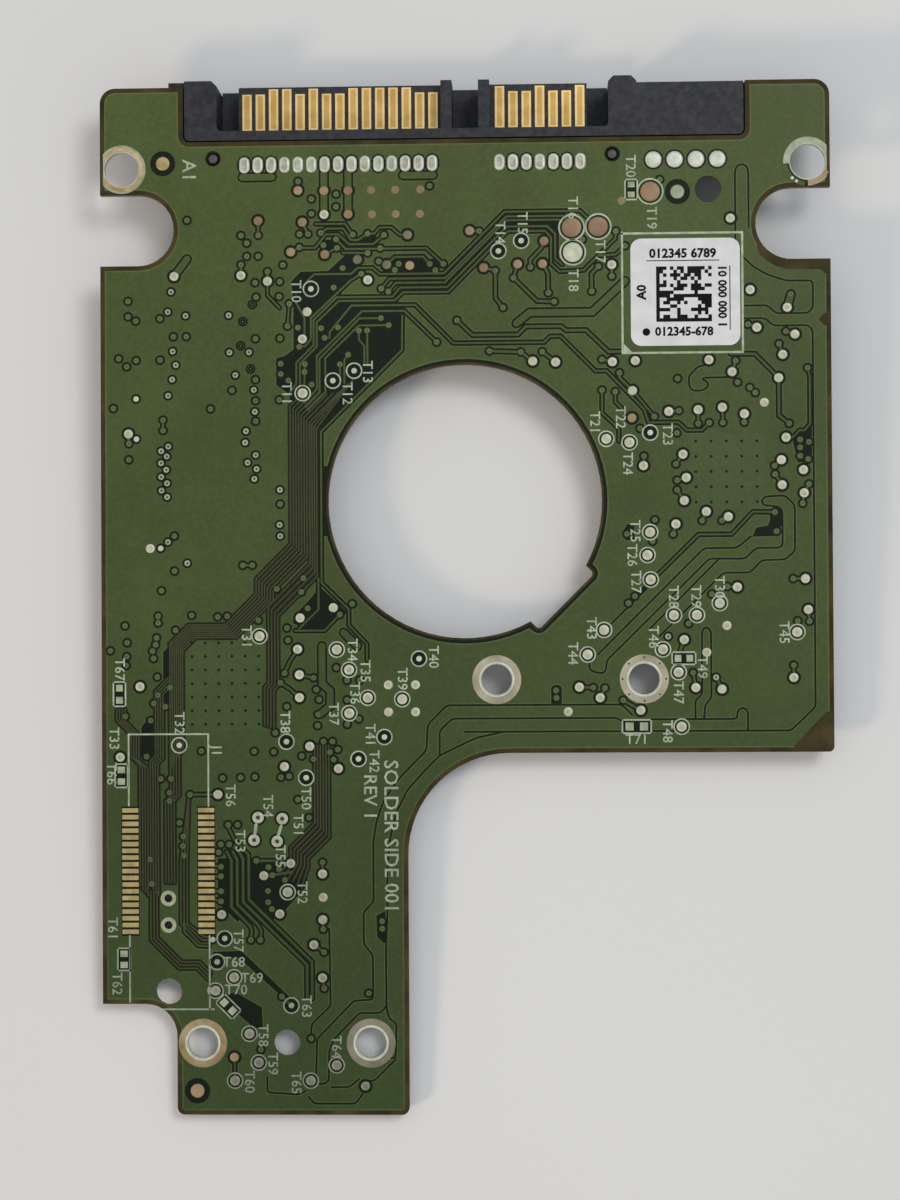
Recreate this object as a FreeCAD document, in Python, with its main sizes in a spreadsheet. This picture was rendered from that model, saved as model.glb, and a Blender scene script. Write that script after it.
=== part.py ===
"""Circuit board of a small hard drive: a notched board with a keyed plug along its upper edge.

The solder side faces up and the parts hang under the board, so the plug's base is the lowest face.
X runs across the board, Y towards the plug and Z out of the solder side, in millimetres.
"""
import FreeCAD
import Part
import Sketcher
import math
import os

SIZES = {
    # Board outline, with distances down the board measured from the plug edge
    "board_width": 68.86,
    "board_length": 97.0,
    "board_thickness": 0.8,
    "right_length": 63.1,
    "tab_length": 10.4,
    "tab_inset": 7.05,
    "tab_width": 21.85,
    "corner_radius": 1.45,
    "wing_corner_radius": 0.5,
    "tab_corner_radius": 0.7,
    "wing_fillet": 9.6,
    "tab_fillet": 3.0,
    "side_notch_width": 6.75,
    "side_notch_depth": 7.0,
    "side_notch_setback": 13.52,
    "opening_radius": 12.9,
    "opening_setback": 39.4,
    "opening_notch_width": 7.4,
    "opening_notch_reach": 13.45,
    "opening_notch_radius": 0.4,
    "cutout_gap": 0.15,
    "cutout_radius": 0.6,
    # Screw holes, locating holes and small plated holes
    "screw_radius": 1.5,
    "screw_ring_radius": 2.3,
    "screw_ring_height": 0.06,
    "top_screw_radius": 1.73,
    "top_screw_inset": 2.06,
    "top_screw_setback": 7.73,
    "edge_web": 0.3,
    "middle_screw_offset": 2.9,
    "middle_screw_spacing": 13.84,
    "middle_screw_rise": 6.89,
    "bottom_screw_inset": 2.41,
    "bottom_screw_spacing": 15.87,
    "bottom_screw_rise": 6.73,
    "locating_radius": 1.25,
    "upper_locating_inset": 11.4,
    "upper_locating_setback": 10.23,
    "lower_locating_inset": 6.26,
    "lower_locating_rise": 1.16,
    "lead_hole_radius": 0.36,
    "lead_hole_inset": 6.25,
    "lead_hole_rise": 7.42,
    "lead_hole_spacing": 2.51,
    # Plug housing
    "contact_pitch": 1.27,
    "contact_offset": 4.8,
    "power_count": 15,
    "signal_count": 7,
    "skipped_count": 4,
    "housing_height": 5.4,
    "housing_recess": 0.1,
    "housing_width": 52.8,
    "front_overhang": 0.62,
    "tongue_overhang": 0.45,
    "block_rear": 5.05,
    "rear_wall": 6.2,
    "slot_width": 37.05,
    "slot_back": 4.15,
    "slot_radius": 0.4,
    "right_post_width": 2.65,
    "blank_front": 0.05,
    "post_chamfer": 0.5,
    "block_radius": 0.5,
    "floor_thickness": 0.7,
    "tongue_level": 2.4,
    "tongue_thickness": 1.2,
    "tongue_lead_in": 0.15,
    "power_end": 0.8,
    "signal_end": 0.67,
    "power_key_reach": 1.85,
    "signal_key_reach": 2.0,
    "key_width": 1.05,
    "key_drop": 0.3,
    "ear_width": 1.6,
    "ear_thickness": 1.2,
    "peg_spacing": 37.72,
    "peg_setback": 6.8,
    "peg_radius": 0.45,
    "peg_gap": 0.15,
    "peg_drop": 0.08,
    "lug_width": 3.0,
    "lug_rear": 8.0,
    # Plug contacts and their solder joints
    "contact_width": 0.9,
    "contact_thickness": 0.25,
    "contact_proud": 0.05,
    "contact_front_gap": 0.2,
    "contact_short_gap": 0.7,
    "tail_width": 0.5,
    "tail_gap": 0.1,
    "joint_setback": 7.46,
    "joint_width": 1.02,
    "joint_length": 1.55,
    "joint_corner": 0.32,
    "joint_height": 0.2,
    # Flat pads and the label on the solder side
    "pad_thickness": 0.04,
    "jumper_inset": 8.48,
    "jumper_setback": 7.4,
    "jumper_pitch": 2.0,
    "jumper_count": 4,
    "jumper_radius": 0.78,
    "jumper_height": 0.15,
    "debug_inset": 2.66,
    "debug_rise": 6.8,
    "debug_pitch": 0.635,
    "debug_count": 19,
    "debug_column_spacing": 7.19,
    "debug_pad_length": 1.55,
    "debug_pad_width": 0.42,
    "label_width": 10.25,
    "label_length": 10.1,
    "label_radius": 1.0,
    "label_thickness": 0.1,
    "label_inset": 13.6,
    "label_setback": 19.9,
    # Controller, memory, motor driver and flash packages
    "controller_inset": 11.2,
    "controller_gap": 9.2,
    "controller_width": 14.0,
    "controller_height": 1.4,
    "controller_pitch": 0.65,
    "controller_pins_a_side": 20,
    "memory_inset": 9.9,
    "memory_setback": 30.0,
    "memory_width": 10.16,
    "memory_length": 18.4,
    "memory_height": 1.0,
    "memory_pitch": 0.8,
    "memory_pins_a_side": 22,
    "driver_inset": 8.95,
    "driver_setback": 36.7,
    "driver_width": 9.0,
    "driver_height": 0.85,
    "driver_pitch": 0.8,
    "driver_lands_a_side": 10,
    "driver_land_width": 0.35,
    "driver_land_length": 0.4,
    "driver_land_thickness": 0.1,
    "flash_inset": 5.6,
    "flash_rise": 21.0,
    "flash_width": 3.9,
    "flash_length": 4.9,
    "flash_height": 1.4,
    "flash_pitch": 1.27,
    "flash_pins_a_side": 4,
    "package_standoff": 0.1,
    "mark_radius": 0.6,
    "mark_inset": 1.4,
    "mark_depth": 0.08,
    "lead_reach": 1.0,
    "lead_foot": 0.5,
    "fine_lead_width": 0.22,
    "wide_lead_width": 0.32,
    "lead_thickness": 0.13,
    # Parts with two end caps
    "ceramic_length": 1.6,
    "ceramic_width": 0.8,
    "ceramic_height": 0.8,
    "ceramic_cap": 0.3,
    "ceramic_row_gap": 1.7,
    "ceramic_row_pitch": 2.4,
    "resistor_length": 1.0,
    "resistor_width": 0.5,
    "resistor_height": 0.35,
    "resistor_cap": 0.2,
    "resistor_row_gap": 1.6,
    "resistor_row_pitch": 1.9,
    "tantalum_length": 3.5,
    "tantalum_width": 2.8,
    "tantalum_height": 1.9,
    "tantalum_cap": 0.35,
    "tantalum_inset": 13.0,
    "tantalum_setback": 17.0,
    "tantalum_pitch": 4.6,
    "inductor_width": 4.0,
    "inductor_height": 1.8,
    "inductor_cap": 0.3,
    "inductor_gap": 1.4,
    "diode_length": 4.0,
    "diode_width": 2.6,
    "diode_height": 2.0,
    "diode_cap": 0.45,
    "diode_setback": 13.2,
    "diode_offset": 8.6,
    "diode_pitch": 5.2,
    "sensor_length": 3.4,
    "sensor_width": 1.7,
    "sensor_height": 1.1,
    "sensor_cap": 0.45,
    "right_sensor_inset": 6.0,
    "right_sensor_setback": 25.5,
    "left_sensor_offset": 8.0,
    "left_sensor_setback": 21.5,
    "crystal_length": 3.2,
    "crystal_width": 2.5,
    "crystal_height": 0.55,
    "crystal_lid_margin": 0.25,
    "crystal_lid_height": 0.2,
    "crystal_gap": 1.2,
    "crystal_drop": 3.0,
    "transistor_length": 2.9,
    "transistor_width": 1.3,
    "transistor_height": 1.0,
    "transistor_lead_width": 0.4,
    "transistor_lead_reach": 0.55,
    "transistor_lead_pitch": 1.9,
    "transistor_inset": 17.0,
    "transistor_setback": 50.5,
    "transistor_pitch": 4.4,
    # Contact pads for the drive's own springs
    "head_pad_width": 0.9,
    "head_pad_length": 2.0,
    "head_pad_pitch": 1.35,
    "head_pad_count": 10,
    "head_pad_row_spacing": 2.7,
    "head_pad_rise": 13.0,
    "motor_pad_width": 1.1,
    "motor_pad_length": 2.2,
    "motor_pad_pitch": 1.8,
    "motor_pad_count": 4,
    "motor_pad_gap": 0.8,
}

POWER_LONG = (2, 3, 5, 8, 9, 10, 11, 12)
SIGNAL_LONG = (0, 3, 6)
DIAGONAL = 45
CLOSE = 1e-4
JOINT_TAPER = -35
PACKAGE_TAPER = -8

# How many small parts stand in a row beside each package
CONTROLLER_ROW = 5
DRIVER_ROW = 4
MEMORY_ROW = 8
FLASH_ROW = 4


class Size:
    """A number that remembers the sheet formula it comes from."""

    def __init__(self, number, formula):
        self.number = number
        self.formula = formula

    def __add__(self, other):
        other = as_size(other)
        return Size(self.number + other.number, f"({self.formula} + {other.formula})")

    def __sub__(self, other):
        other = as_size(other)
        return Size(self.number - other.number, f"({self.formula} - {other.formula})")

    def __mul__(self, other):
        other = as_size(other)
        return Size(self.number * other.number, f"{self.formula} * {other.formula}")

    def __truediv__(self, other):
        other = as_size(other)
        return Size(self.number / other.number, f"{self.formula} / {other.formula}")

    def __neg__(self):
        return as_size(0) - self


def as_size(item):
    if isinstance(item, Size):
        return item
    return Size(item, f"({item})")


class SizeBook:
    """Gives each cell of the sheet as an attribute."""

    def __getattr__(self, alias):
        return Size(SIZES[alias], f"Sizes.{alias}")


def fill_sheet(doc):
    sheet = doc.addObject("Spreadsheet::Sheet", "Sizes")
    for row, (alias, amount) in enumerate(SIZES.items(), start=1):
        sheet.set(f"A{row}", alias)
        sheet.set(f"B{row}", str(amount))
        sheet.setAlias(f"B{row}", alias)
    doc.recompute()


doc = FreeCAD.newDocument("HardDriveBoard")
fill_sheet(doc)
size = SizeBook()
ZERO = as_size(0)
nodes = {}

# Reference lines of the board
left = -size.board_width / 2
right = size.board_width / 2
top = (size.board_length - size.front_overhang) / 2
tab_left = left + size.tab_inset
tab_right = tab_left + size.tab_width
tab_end = top - size.board_length
left_end = tab_end + size.tab_length
board_top = size.housing_height + size.housing_recess
board_bottom = board_top - size.board_thickness

# Reference lines of the plug
first_contact = -size.contact_offset - size.contact_pitch * (
    size.power_count + size.skipped_count + size.signal_count - 1) / 2
first_signal = first_contact + size.contact_pitch * (size.power_count + size.skipped_count)
last_power = first_contact + size.contact_pitch * (size.power_count - 1)
last_signal = first_signal + size.contact_pitch * (size.signal_count - 1)
tongue_top = board_top - size.tongue_level
strip_bottom = tongue_top + size.contact_proud - size.contact_thickness
tongue_front = top + size.tongue_overhang
block_left = -size.housing_width / 2
block_right = size.housing_width / 2
slot_left = -size.contact_offset - size.slot_width / 2
slot_right = -size.contact_offset + size.slot_width / 2
blank_left = slot_right + size.right_post_width
peg_xs = (-size.contact_offset - size.peg_spacing / 2, -size.contact_offset + size.peg_spacing / 2)
BEYOND = as_size(2)


def bind(item, name, amount):
    item.setExpression(name, as_size(amount).formula)


def place(item, x, y, z):
    for axis, amount in zip("xyz", (x, y, z)):
        bind(item, f"Placement.Base.{axis}", amount)


def new_body(name):
    body = doc.addObject("PartDesign::Body", name)
    body.Label = name
    nodes[name] = body
    return body


class Drawing:
    """One sketch whose points and radii are bound to the sheet."""

    def __init__(self, body, name, plane="XY_Plane", height=ZERO):
        planes = {item.Role: item for item in body.Origin.OriginFeatures}
        self.sketch = body.newObject("Sketcher::SketchObject", name)
        self.sketch.AttachmentSupport = (planes[plane], [""])
        self.sketch.MapMode = "FlatFace"
        bind(self.sketch, "AttachmentOffset.Base.z", height)
        self.items = []
        self.rules = []
        self.formulas = {}

    def rule(self, *terms):
        self.rules.append(Sketcher.Constraint(*terms))

    def bound_rule(self, amount, *terms):
        self.formulas[len(self.rules)] = amount.formula
        self.rule(*terms, amount.number)

    def pin(self, item, end, point):
        self.bound_rule(point[0], "DistanceX", -1, 1, item, end)
        self.bound_rule(point[1], "DistanceY", -1, 1, item, end)

    def polygon(self, corners):
        first = len(self.items)
        points = [FreeCAD.Vector(x.number, y.number, 0) for x, y in corners]
        for index, point in enumerate(points):
            following = (index + 1) % len(points)
            self.items.append(Part.LineSegment(point, points[following]))
            self.rule("Coincident", first + index, 2, first + following, 1)
            self.pin(first + index, 1, corners[index])

    def rectangle(self, low_x, high_x, low_y, high_y):
        self.polygon([(low_x, low_y), (high_x, low_y), (high_x, high_y), (low_x, high_y)])

    def circle(self, centre, radius):
        item = len(self.items)
        middle = FreeCAD.Vector(centre[0].number, centre[1].number, 0)
        self.items.append(Part.Circle(middle, FreeCAD.Vector(0, 0, 1), radius.number))
        self.pin(item, 3, centre)
        self.bound_rule(radius, "Radius", item)

    def cut_corner_plate(self, width, length, cut):
        """A rectangle about the origin with its four corners cut off."""
        x, y = width / 2, length / 2
        self.polygon([(cut - x, -y), (x - cut, -y), (x, cut - y), (x, y - cut),
                      (x - cut, y), (cut - x, y), (-x, y - cut), (-x, cut - y)])

    def finish(self):
        self.sketch.addGeometry(self.items, False)
        self.sketch.addConstraint(self.rules)
        for index, formula in self.formulas.items():
            self.sketch.setExpression(f"Constraints[{index}]", formula)
        doc.recompute()
        return self.sketch


def pad(body, sketch, length, backwards=False, taper=0):
    feature = body.newObject("PartDesign::Pad", "Pad")
    feature.Profile = sketch
    feature.Reversed = backwards
    feature.TaperAngle = taper
    bind(feature, "Length", length)
    doc.recompute()
    return feature


def pocket(body, sketch, depth=None):
    """Cuts down from the sketch, or right through both ways where no depth is given."""
    before = body.Shape.Volume
    feature = body.newObject("PartDesign::Pocket", "Pocket")
    feature.Profile = sketch
    if depth is None:
        feature.Type = "ThroughAll"
        feature.SideType = "Symmetric"
    else:
        bind(feature, "Length", depth)
    doc.recompute()
    if not body.Shape.Volume < before:
        raise RuntimeError(f"{sketch.Label} cuts nothing")
    return feature


def upright_at(corners):
    """Picks the straight upright edges that stand on these corners."""
    def wanted(edge):
        start, end = edge.Vertexes[0].Point, edge.Vertexes[-1].Point
        if edge.Curve.TypeId != "Part::GeomLine" or math.hypot(start.x - end.x, start.y - end.y) > CLOSE:
            return False
        return any(math.hypot(start.x - x.number, start.y - y.number) < CLOSE for x, y in corners)
    return wanted


def level_at(height):
    """Picks the edges that lie flat at this height."""
    def wanted(edge):
        return all(abs(vertex.Point.z - height.number) < CLOSE for vertex in edge.Vertexes)
    return wanted


def dress(body, kind, radius_name, radius, wanted):
    """Adds a fillet or chamfer to the picked edges of the body."""
    base = body.Tip
    names = [f"Edge{number}" for number, edge in enumerate(base.Shape.Edges, start=1) if wanted(edge)]
    if not names:
        raise RuntimeError(f"{body.Label} has no edge for its {kind}")
    feature = body.newObject(f"PartDesign::{kind}", kind)
    feature.Base = (base, names)
    bind(feature, radius_name, radius)
    doc.recompute()


def round_corners(body, corners, radius):
    dress(body, "Fillet", "Radius", radius, upright_at(corners))


def bevel_edges(body, wanted, amount):
    dress(body, "Chamfer", "Size", amount, wanted)


def pattern(body, features, sketch, pitch, count):
    """Repeats features along the sketch's own X axis."""
    feature = body.newObject("PartDesign::LinearPattern", "Pattern")
    feature.Originals = features
    feature.Direction = (sketch, ["H_Axis"])
    bind(feature, "Length", pitch * (count - 1))
    bind(feature, "Occurrences", count)
    body.Tip = feature
    doc.recompute()
    return feature


def block(name, centre, low_z, length, width, height, turn=0):
    """A box centred on a point of the board, turned about Z."""
    box = doc.addObject("Part::Box", name)
    cosine = round(math.cos(math.radians(turn)), 12)
    sine = round(math.sin(math.radians(turn)), 12)
    box.Placement = FreeCAD.Placement(FreeCAD.Vector(), FreeCAD.Rotation(FreeCAD.Vector(0, 0, 1), turn))
    for side, amount in (("Length", length), ("Width", width), ("Height", height)):
        bind(box, side, amount)
    low_x = centre[0] - (length * cosine - width * sine) / 2
    low_y = centre[1] - (length * sine + width * cosine) / 2
    place(box, low_x, low_y, low_z)
    return box


def group(name, members):
    compound = doc.addObject("Part::Compound", name)
    compound.Label = name
    compound.Links = members
    nodes[name] = compound
    doc.recompute()


def down(distance):
    """Y of a point that far below the plug edge."""
    return top - distance


# Hole places that the board shares with the pieces in them
opening_centre = (ZERO, down(size.opening_setback))
top_screws = [(side, down(size.top_screw_setback))
              for side in (left + size.top_screw_inset, right - size.top_screw_inset)]
middle_y = down(size.right_length - size.middle_screw_rise)
bottom_y = tab_end + size.bottom_screw_rise
bottom_x = tab_left + size.bottom_screw_inset
ringed_screws = [(size.middle_screw_offset, middle_y),
                 (size.middle_screw_offset + size.middle_screw_spacing, middle_y),
                 (bottom_x, bottom_y),
                 (bottom_x + size.bottom_screw_spacing, bottom_y)]
locating_holes = [(right - size.upper_locating_inset, down(size.upper_locating_setback)),
                  (left + size.lower_locating_inset, left_end + size.lower_locating_rise),
                  (bottom_x + size.bottom_screw_spacing / 2, bottom_y)]
lead_holes = [(left + size.lead_hole_inset, left_end + size.lead_hole_rise + size.lead_hole_spacing * row)
              for row in range(2)]
pegs = [(x, down(size.peg_setback)) for x in peg_xs]
power_xs = [first_contact + size.contact_pitch * index for index in range(SIZES["power_count"])]
signal_xs = [first_signal + size.contact_pitch * index for index in range(SIZES["signal_count"])]
notch_middle = down(size.side_notch_setback)


def make_board():
    body = new_body("circuit_board")
    place(body, ZERO, ZERO, board_bottom)
    cut_left = block_left - size.cutout_gap
    cut_right = block_right + size.cutout_gap
    cut_end = down(size.block_rear + size.cutout_gap)
    wing_end = down(size.right_length)
    outline = Drawing(body, "board_outline")
    outline.polygon([(left, top), (left, left_end), (tab_left, left_end), (tab_left, tab_end),
                     (tab_right, tab_end), (tab_right, wing_end), (right, wing_end), (right, top),
                     (cut_right, top), (cut_right, cut_end), (cut_left, cut_end), (cut_left, top)])
    pad(body, outline.finish(), size.board_thickness)
    round_corners(body, [(left, top), (right, top)], size.corner_radius)
    round_corners(body, [(cut_left, cut_end), (cut_right, cut_end)], size.cutout_radius)
    round_corners(body, [(tab_left, tab_end), (tab_right, tab_end)], size.tab_corner_radius)
    round_corners(body, [(right, wing_end)], size.wing_corner_radius)
    round_corners(body, [(tab_right, wing_end)], size.wing_fillet)
    round_corners(body, [(tab_left, left_end)], size.tab_fillet)
    cut_side_notches(body)
    cut_motor_opening(body)
    cut_round_holes(body)


def cut_side_notches(body):
    radius = size.side_notch_width / 2
    reach = size.side_notch_depth - radius
    slots = Drawing(body, "side_notches")
    slots.rectangle(left - BEYOND, left + reach, notch_middle - radius, notch_middle + radius)
    slots.rectangle(right - reach, right + BEYOND, notch_middle - radius, notch_middle + radius)
    pocket(body, slots.finish())
    ends = Drawing(body, "side_notch_ends")
    ends.circle((left + reach, notch_middle), radius)
    ends.circle((right - reach, notch_middle), radius)
    pocket(body, ends.finish())


def cut_motor_opening(body):
    opening = Drawing(body, "motor_opening")
    opening.circle(opening_centre, size.opening_radius)
    pocket(body, opening.finish())
    notch = Drawing(body, "opening_notch")
    half = size.opening_notch_width / 2
    notch.rectangle(ZERO, size.opening_notch_reach, -half, half)
    turn = FreeCAD.Rotation(FreeCAD.Vector(0, 0, 1), -DIAGONAL)
    notch.sketch.AttachmentOffset = FreeCAD.Placement(FreeCAD.Vector(), turn)
    bind(notch.sketch, "AttachmentOffset.Base.x", opening_centre[0])
    bind(notch.sketch, "AttachmentOffset.Base.y", opening_centre[1])
    pocket(body, notch.finish())
    diagonal = round(math.cos(math.radians(DIAGONAL)), 12)
    corners = [(opening_centre[0] + (size.opening_notch_reach + side) * diagonal,
                opening_centre[1] - (size.opening_notch_reach - side) * diagonal)
               for side in (half, -half)]
    round_corners(body, corners, size.opening_notch_radius)


def cut_round_holes(body):
    holes = Drawing(body, "round_holes")
    for centre in top_screws:
        holes.circle(centre, size.top_screw_radius)
    for centre in ringed_screws:
        holes.circle(centre, size.screw_radius)
    for centre in locating_holes:
        holes.circle(centre, size.locating_radius)
    for centre in lead_holes:
        holes.circle(centre, size.lead_hole_radius)
    for centre in pegs:
        holes.circle(centre, size.peg_radius + size.peg_gap)
    pocket(body, holes.finish())
    half_width = size.tail_width / 2 + size.tail_gap
    half_depth = size.contact_thickness / 2 + size.tail_gap
    y = down(size.joint_setback)
    for first_x, count in ((first_contact, size.power_count), (first_signal, size.signal_count)):
        row = Drawing(body, "tail_holes")
        row.rectangle(first_x - half_width, first_x + half_width, y - half_depth, y + half_depth)
        sketch = row.finish()
        pattern(body, [pocket(body, sketch)], sketch, size.contact_pitch, count)


def draw_contacts(drawing, xs, long_ones):
    """Plan of one row of contacts, from their front ends back to their tails."""
    half = size.contact_width / 2
    for index, x in enumerate(xs):
        gap = size.contact_front_gap if index in long_ones else size.contact_short_gap
        rear = down(size.joint_setback) - size.contact_thickness / 2
        drawing.rectangle(x - half, x + half, rear, tongue_front - gap)


def make_housing():
    body = new_body("connector_housing")
    front = top + size.front_overhang
    rear = down(size.rear_wall)
    lower = Drawing(body, "lower_block")
    lower.rectangle(block_left, block_right, rear, front)
    pad(body, lower.finish(), board_bottom)
    upper = Drawing(body, "upper_block", height=board_bottom)
    upper.rectangle(block_left, block_right, down(size.block_rear), front)
    pad(body, upper.finish(), size.housing_height - board_bottom)
    rear_corners = [(x, down(size.block_rear)) for x in (block_left, block_right)]
    round_corners(body, rear_corners, size.block_radius)
    add_ears_and_pegs(body, front, rear)
    cut_mating_slot(body, front)
    add_tongues(body)
    grooves = Drawing(body, "contact_grooves", height=strip_bottom + size.contact_thickness)
    draw_contacts(grooves, power_xs, POWER_LONG)
    draw_contacts(grooves, signal_xs, SIGNAL_LONG)
    pocket(body, grooves.finish(), size.contact_thickness)


def add_ears_and_pegs(body, front, rear):
    ears = Drawing(body, "ears", height=board_bottom - size.ear_thickness)
    ears.rectangle(block_left - size.ear_width, block_left, rear, front)
    ears.rectangle(block_right, block_right + size.ear_width, rear, top - size.blank_front)
    half = size.lug_width / 2
    for x, y in pegs:
        ears.rectangle(x - half, x + half, down(size.lug_rear), rear)
    pad(body, ears.finish(), size.ear_thickness)
    posts = Drawing(body, "pegs", height=board_bottom)
    for centre in pegs:
        posts.circle(centre, size.peg_radius)
    pad(body, posts.finish(), size.board_thickness - size.peg_drop)


def cut_mating_slot(body, front):
    slot = Drawing(body, "mating_slot", height=size.housing_height)
    slot.rectangle(slot_left, slot_right, down(size.slot_back), front + BEYOND)
    pocket(body, slot.finish(), size.housing_height - size.floor_thickness)
    steps = Drawing(body, "front_steps")
    steps.rectangle(slot_left, slot_right, tongue_front, front + BEYOND)
    steps.rectangle(blank_left, block_right + BEYOND, top - size.blank_front, front + BEYOND)
    pocket(body, steps.finish())
    round_corners(body, [(slot_left, down(size.slot_back)), (slot_right, down(size.slot_back))],
                  size.slot_radius)
    bevels = Drawing(body, "post_bevels")
    for corner, inward in ((slot_left, -size.post_chamfer), (slot_right, size.post_chamfer),
                           (blank_left, -size.post_chamfer)):
        bevels.polygon([(corner, front - size.post_chamfer), (corner, front + BEYOND),
                        (corner + inward, front + BEYOND), (corner + inward, front)])
    pocket(body, bevels.finish())


def add_tongues(body):
    """Two flat tongues, each with a raised key on the side that faces the other."""
    low = tongue_top - size.tongue_thickness
    key_top = board_top - size.key_drop
    power_left = first_contact - size.power_end
    power_key = last_power + size.power_key_reach
    signal_key = first_signal - size.signal_key_reach
    signal_right = last_signal + size.signal_end
    profile = Drawing(body, "keyed_tongues", "XZ_Plane", height=-down(size.slot_back))
    profile.polygon([(power_left, low), (power_key, low), (power_key, key_top),
                     (power_key - size.key_width, key_top), (power_key - size.key_width, tongue_top),
                     (power_left, tongue_top)])
    profile.polygon([(signal_right, low), (signal_right, tongue_top),
                     (signal_key + size.key_width, tongue_top), (signal_key + size.key_width, key_top),
                     (signal_key, key_top), (signal_key, low)])
    pad(body, profile.finish(), size.slot_back + size.tongue_overhang, backwards=True)

    def nose(edge):
        along_front = all(abs(vertex.Point.y - tongue_front.number) < CLOSE for vertex in edge.Vertexes)
        return along_front and (level_at(low)(edge) or level_at(tongue_top)(edge))
    bevel_edges(body, nose, size.tongue_lead_in)


def make_contacts(name, xs, long_ones):
    body = new_body(name)
    strips = Drawing(body, "strips", height=strip_bottom)
    draw_contacts(strips, xs, long_ones)
    pad(body, strips.finish(), size.contact_thickness)
    tails = Drawing(body, "tails", height=strip_bottom)
    half_width = size.tail_width / 2
    half_depth = size.contact_thickness / 2
    row = down(size.joint_setback)
    for x in xs:
        tails.rectangle(x - half_width, x + half_width, row - half_depth, row + half_depth)
    pad(body, tails.finish(), board_top - strip_bottom)


def make_solder_joints(name, first_x, count):
    body = new_body(name)
    place(body, first_x, down(size.joint_setback), board_top)
    joint = Drawing(body, "joint")
    joint.cut_corner_plate(size.joint_width, size.joint_length, size.joint_corner)
    sketch = joint.finish()
    pattern(body, [pad(body, sketch, size.joint_height, taper=JOINT_TAPER)], sketch, size.contact_pitch, count)


def make_screw_rings(name, centres, hole_radius):
    """Tinned rings that the screw heads press on."""
    body = new_body(name)
    place(body, ZERO, ZERO, board_top)
    rings = Drawing(body, "rings")
    for centre in centres:
        rings.circle(centre, hole_radius)
        rings.circle(centre, size.screw_ring_radius)
    pad(body, rings.finish(), size.screw_ring_height)
    return body


def trim_rings_at_edges(body):
    trim = Drawing(body, "edge_trim", height=size.screw_ring_height)
    reach = size.screw_ring_radius + size.edge_web
    y = top_screws[0][1]
    trim.rectangle(left - reach, left + size.edge_web, y - reach, y + reach)
    trim.rectangle(right - size.edge_web, right + reach, y - reach, y + reach)
    pocket(body, trim.finish(), size.screw_ring_height)


def make_jumper_pads():
    body = new_body("jumper_pads")
    place(body, block_right - size.jumper_inset, down(size.jumper_setback), board_top)
    drawing = Drawing(body, "disc")
    drawing.circle((ZERO, ZERO), size.jumper_radius)
    sketch = drawing.finish()
    pattern(body, [pad(body, sketch, size.jumper_height)], sketch, size.jumper_pitch, size.jumper_count)


def make_debug_pads():
    pads = []
    for column in range(2):
        x = left + size.debug_inset + size.debug_column_spacing * column
        for row in range(SIZES["debug_count"]):
            y = left_end + size.debug_rise + size.debug_pitch * row
            pads.append(block("debug_pad", (x, y), board_top, size.debug_pad_length,
                              size.debug_pad_width, size.pad_thickness))
    group("debug_pads", pads)


def make_label():
    body = new_body("paper_label")
    x, y = right - size.label_inset, down(size.label_setback)
    place(body, x, y, board_top)
    half_width, half_length = size.label_width / 2, size.label_length / 2
    sheet = Drawing(body, "label_outline")
    sheet.rectangle(-half_width, half_width, -half_length, half_length)
    pad(body, sheet.finish(), size.label_thickness)
    round_corners(body, [(a, b) for a in (-half_width, half_width) for b in (-half_length, half_length)],
                  size.label_radius)


def hang(body, centre):
    """Turns a body built upwards from its seat so that it hangs under the board."""
    body.Placement = FreeCAD.Placement(FreeCAD.Vector(), FreeCAD.Rotation(FreeCAD.Vector(1, 0, 0), 180))
    place(body, centre[0], centre[1], board_bottom)


def make_package(name, centre, width, length, height, marked=False):
    """A moulded package whose sides slope both ways from its parting line."""
    body = new_body(name)
    hang(body, centre)
    middle = size.package_standoff + height / 2
    for backwards in (False, True):
        plan = Drawing(body, "parting_line", height=middle)
        plan.rectangle(-width / 2, width / 2, -length / 2, length / 2)
        pad(body, plan.finish(), height / 2, backwards, PACKAGE_TAPER)
    if marked:
        mark = Drawing(body, "first_pin_mark", height=size.package_standoff + height)
        mark.circle((size.mark_inset - width / 2, size.mark_inset - length / 2), size.mark_radius)
        pocket(body, mark.finish(), size.mark_depth)


def draw_gull_wing(drawing, width, height):
    """Side view of one lead: out of the package, down to the board and along it."""
    middle = size.package_standoff + height / 2
    half = size.lead_thickness / 2
    start = width / 2
    tip = start + size.lead_reach
    heel = tip - size.lead_foot
    drawing.polygon([(start, middle - half), (heel, ZERO), (tip, ZERO), (tip, size.lead_thickness),
                     (heel + size.lead_thickness, size.lead_thickness), (start, middle + half)])


def make_leads(name, centre, width, height, pitch, count, lead_width, sides):
    """Rows of leads on two or four sides of a package."""
    body = new_body(name)
    hang(body, centre)
    row_length = pitch * (count - 1)
    profile = Drawing(body, "lead", "XZ_Plane", height=(row_length - lead_width) / 2)
    draw_gull_wing(profile, width, height)
    lead = pad(body, profile.finish(), lead_width)
    axes = {item.Role: item for item in body.Origin.OriginFeatures}
    spread = body.newObject("PartDesign::MultiTransform", "lead_rows")
    spread.Originals = [lead]
    row = doc.addObject("PartDesign::LinearPattern", "lead_row")
    row.Direction = (axes["Y_Axis"], [""])
    bind(row, "Length", row_length)
    bind(row, "Occurrences", count)
    turn = doc.addObject("PartDesign::PolarPattern", "lead_sides")
    turn.Axis = (axes["Z_Axis"], [""])
    turn.Angle = 360
    turn.Occurrences = sides
    body.addObject(row)
    body.addObject(turn)
    spread.Transformations = [row, turn]
    body.Tip = spread
    doc.recompute()


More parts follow.
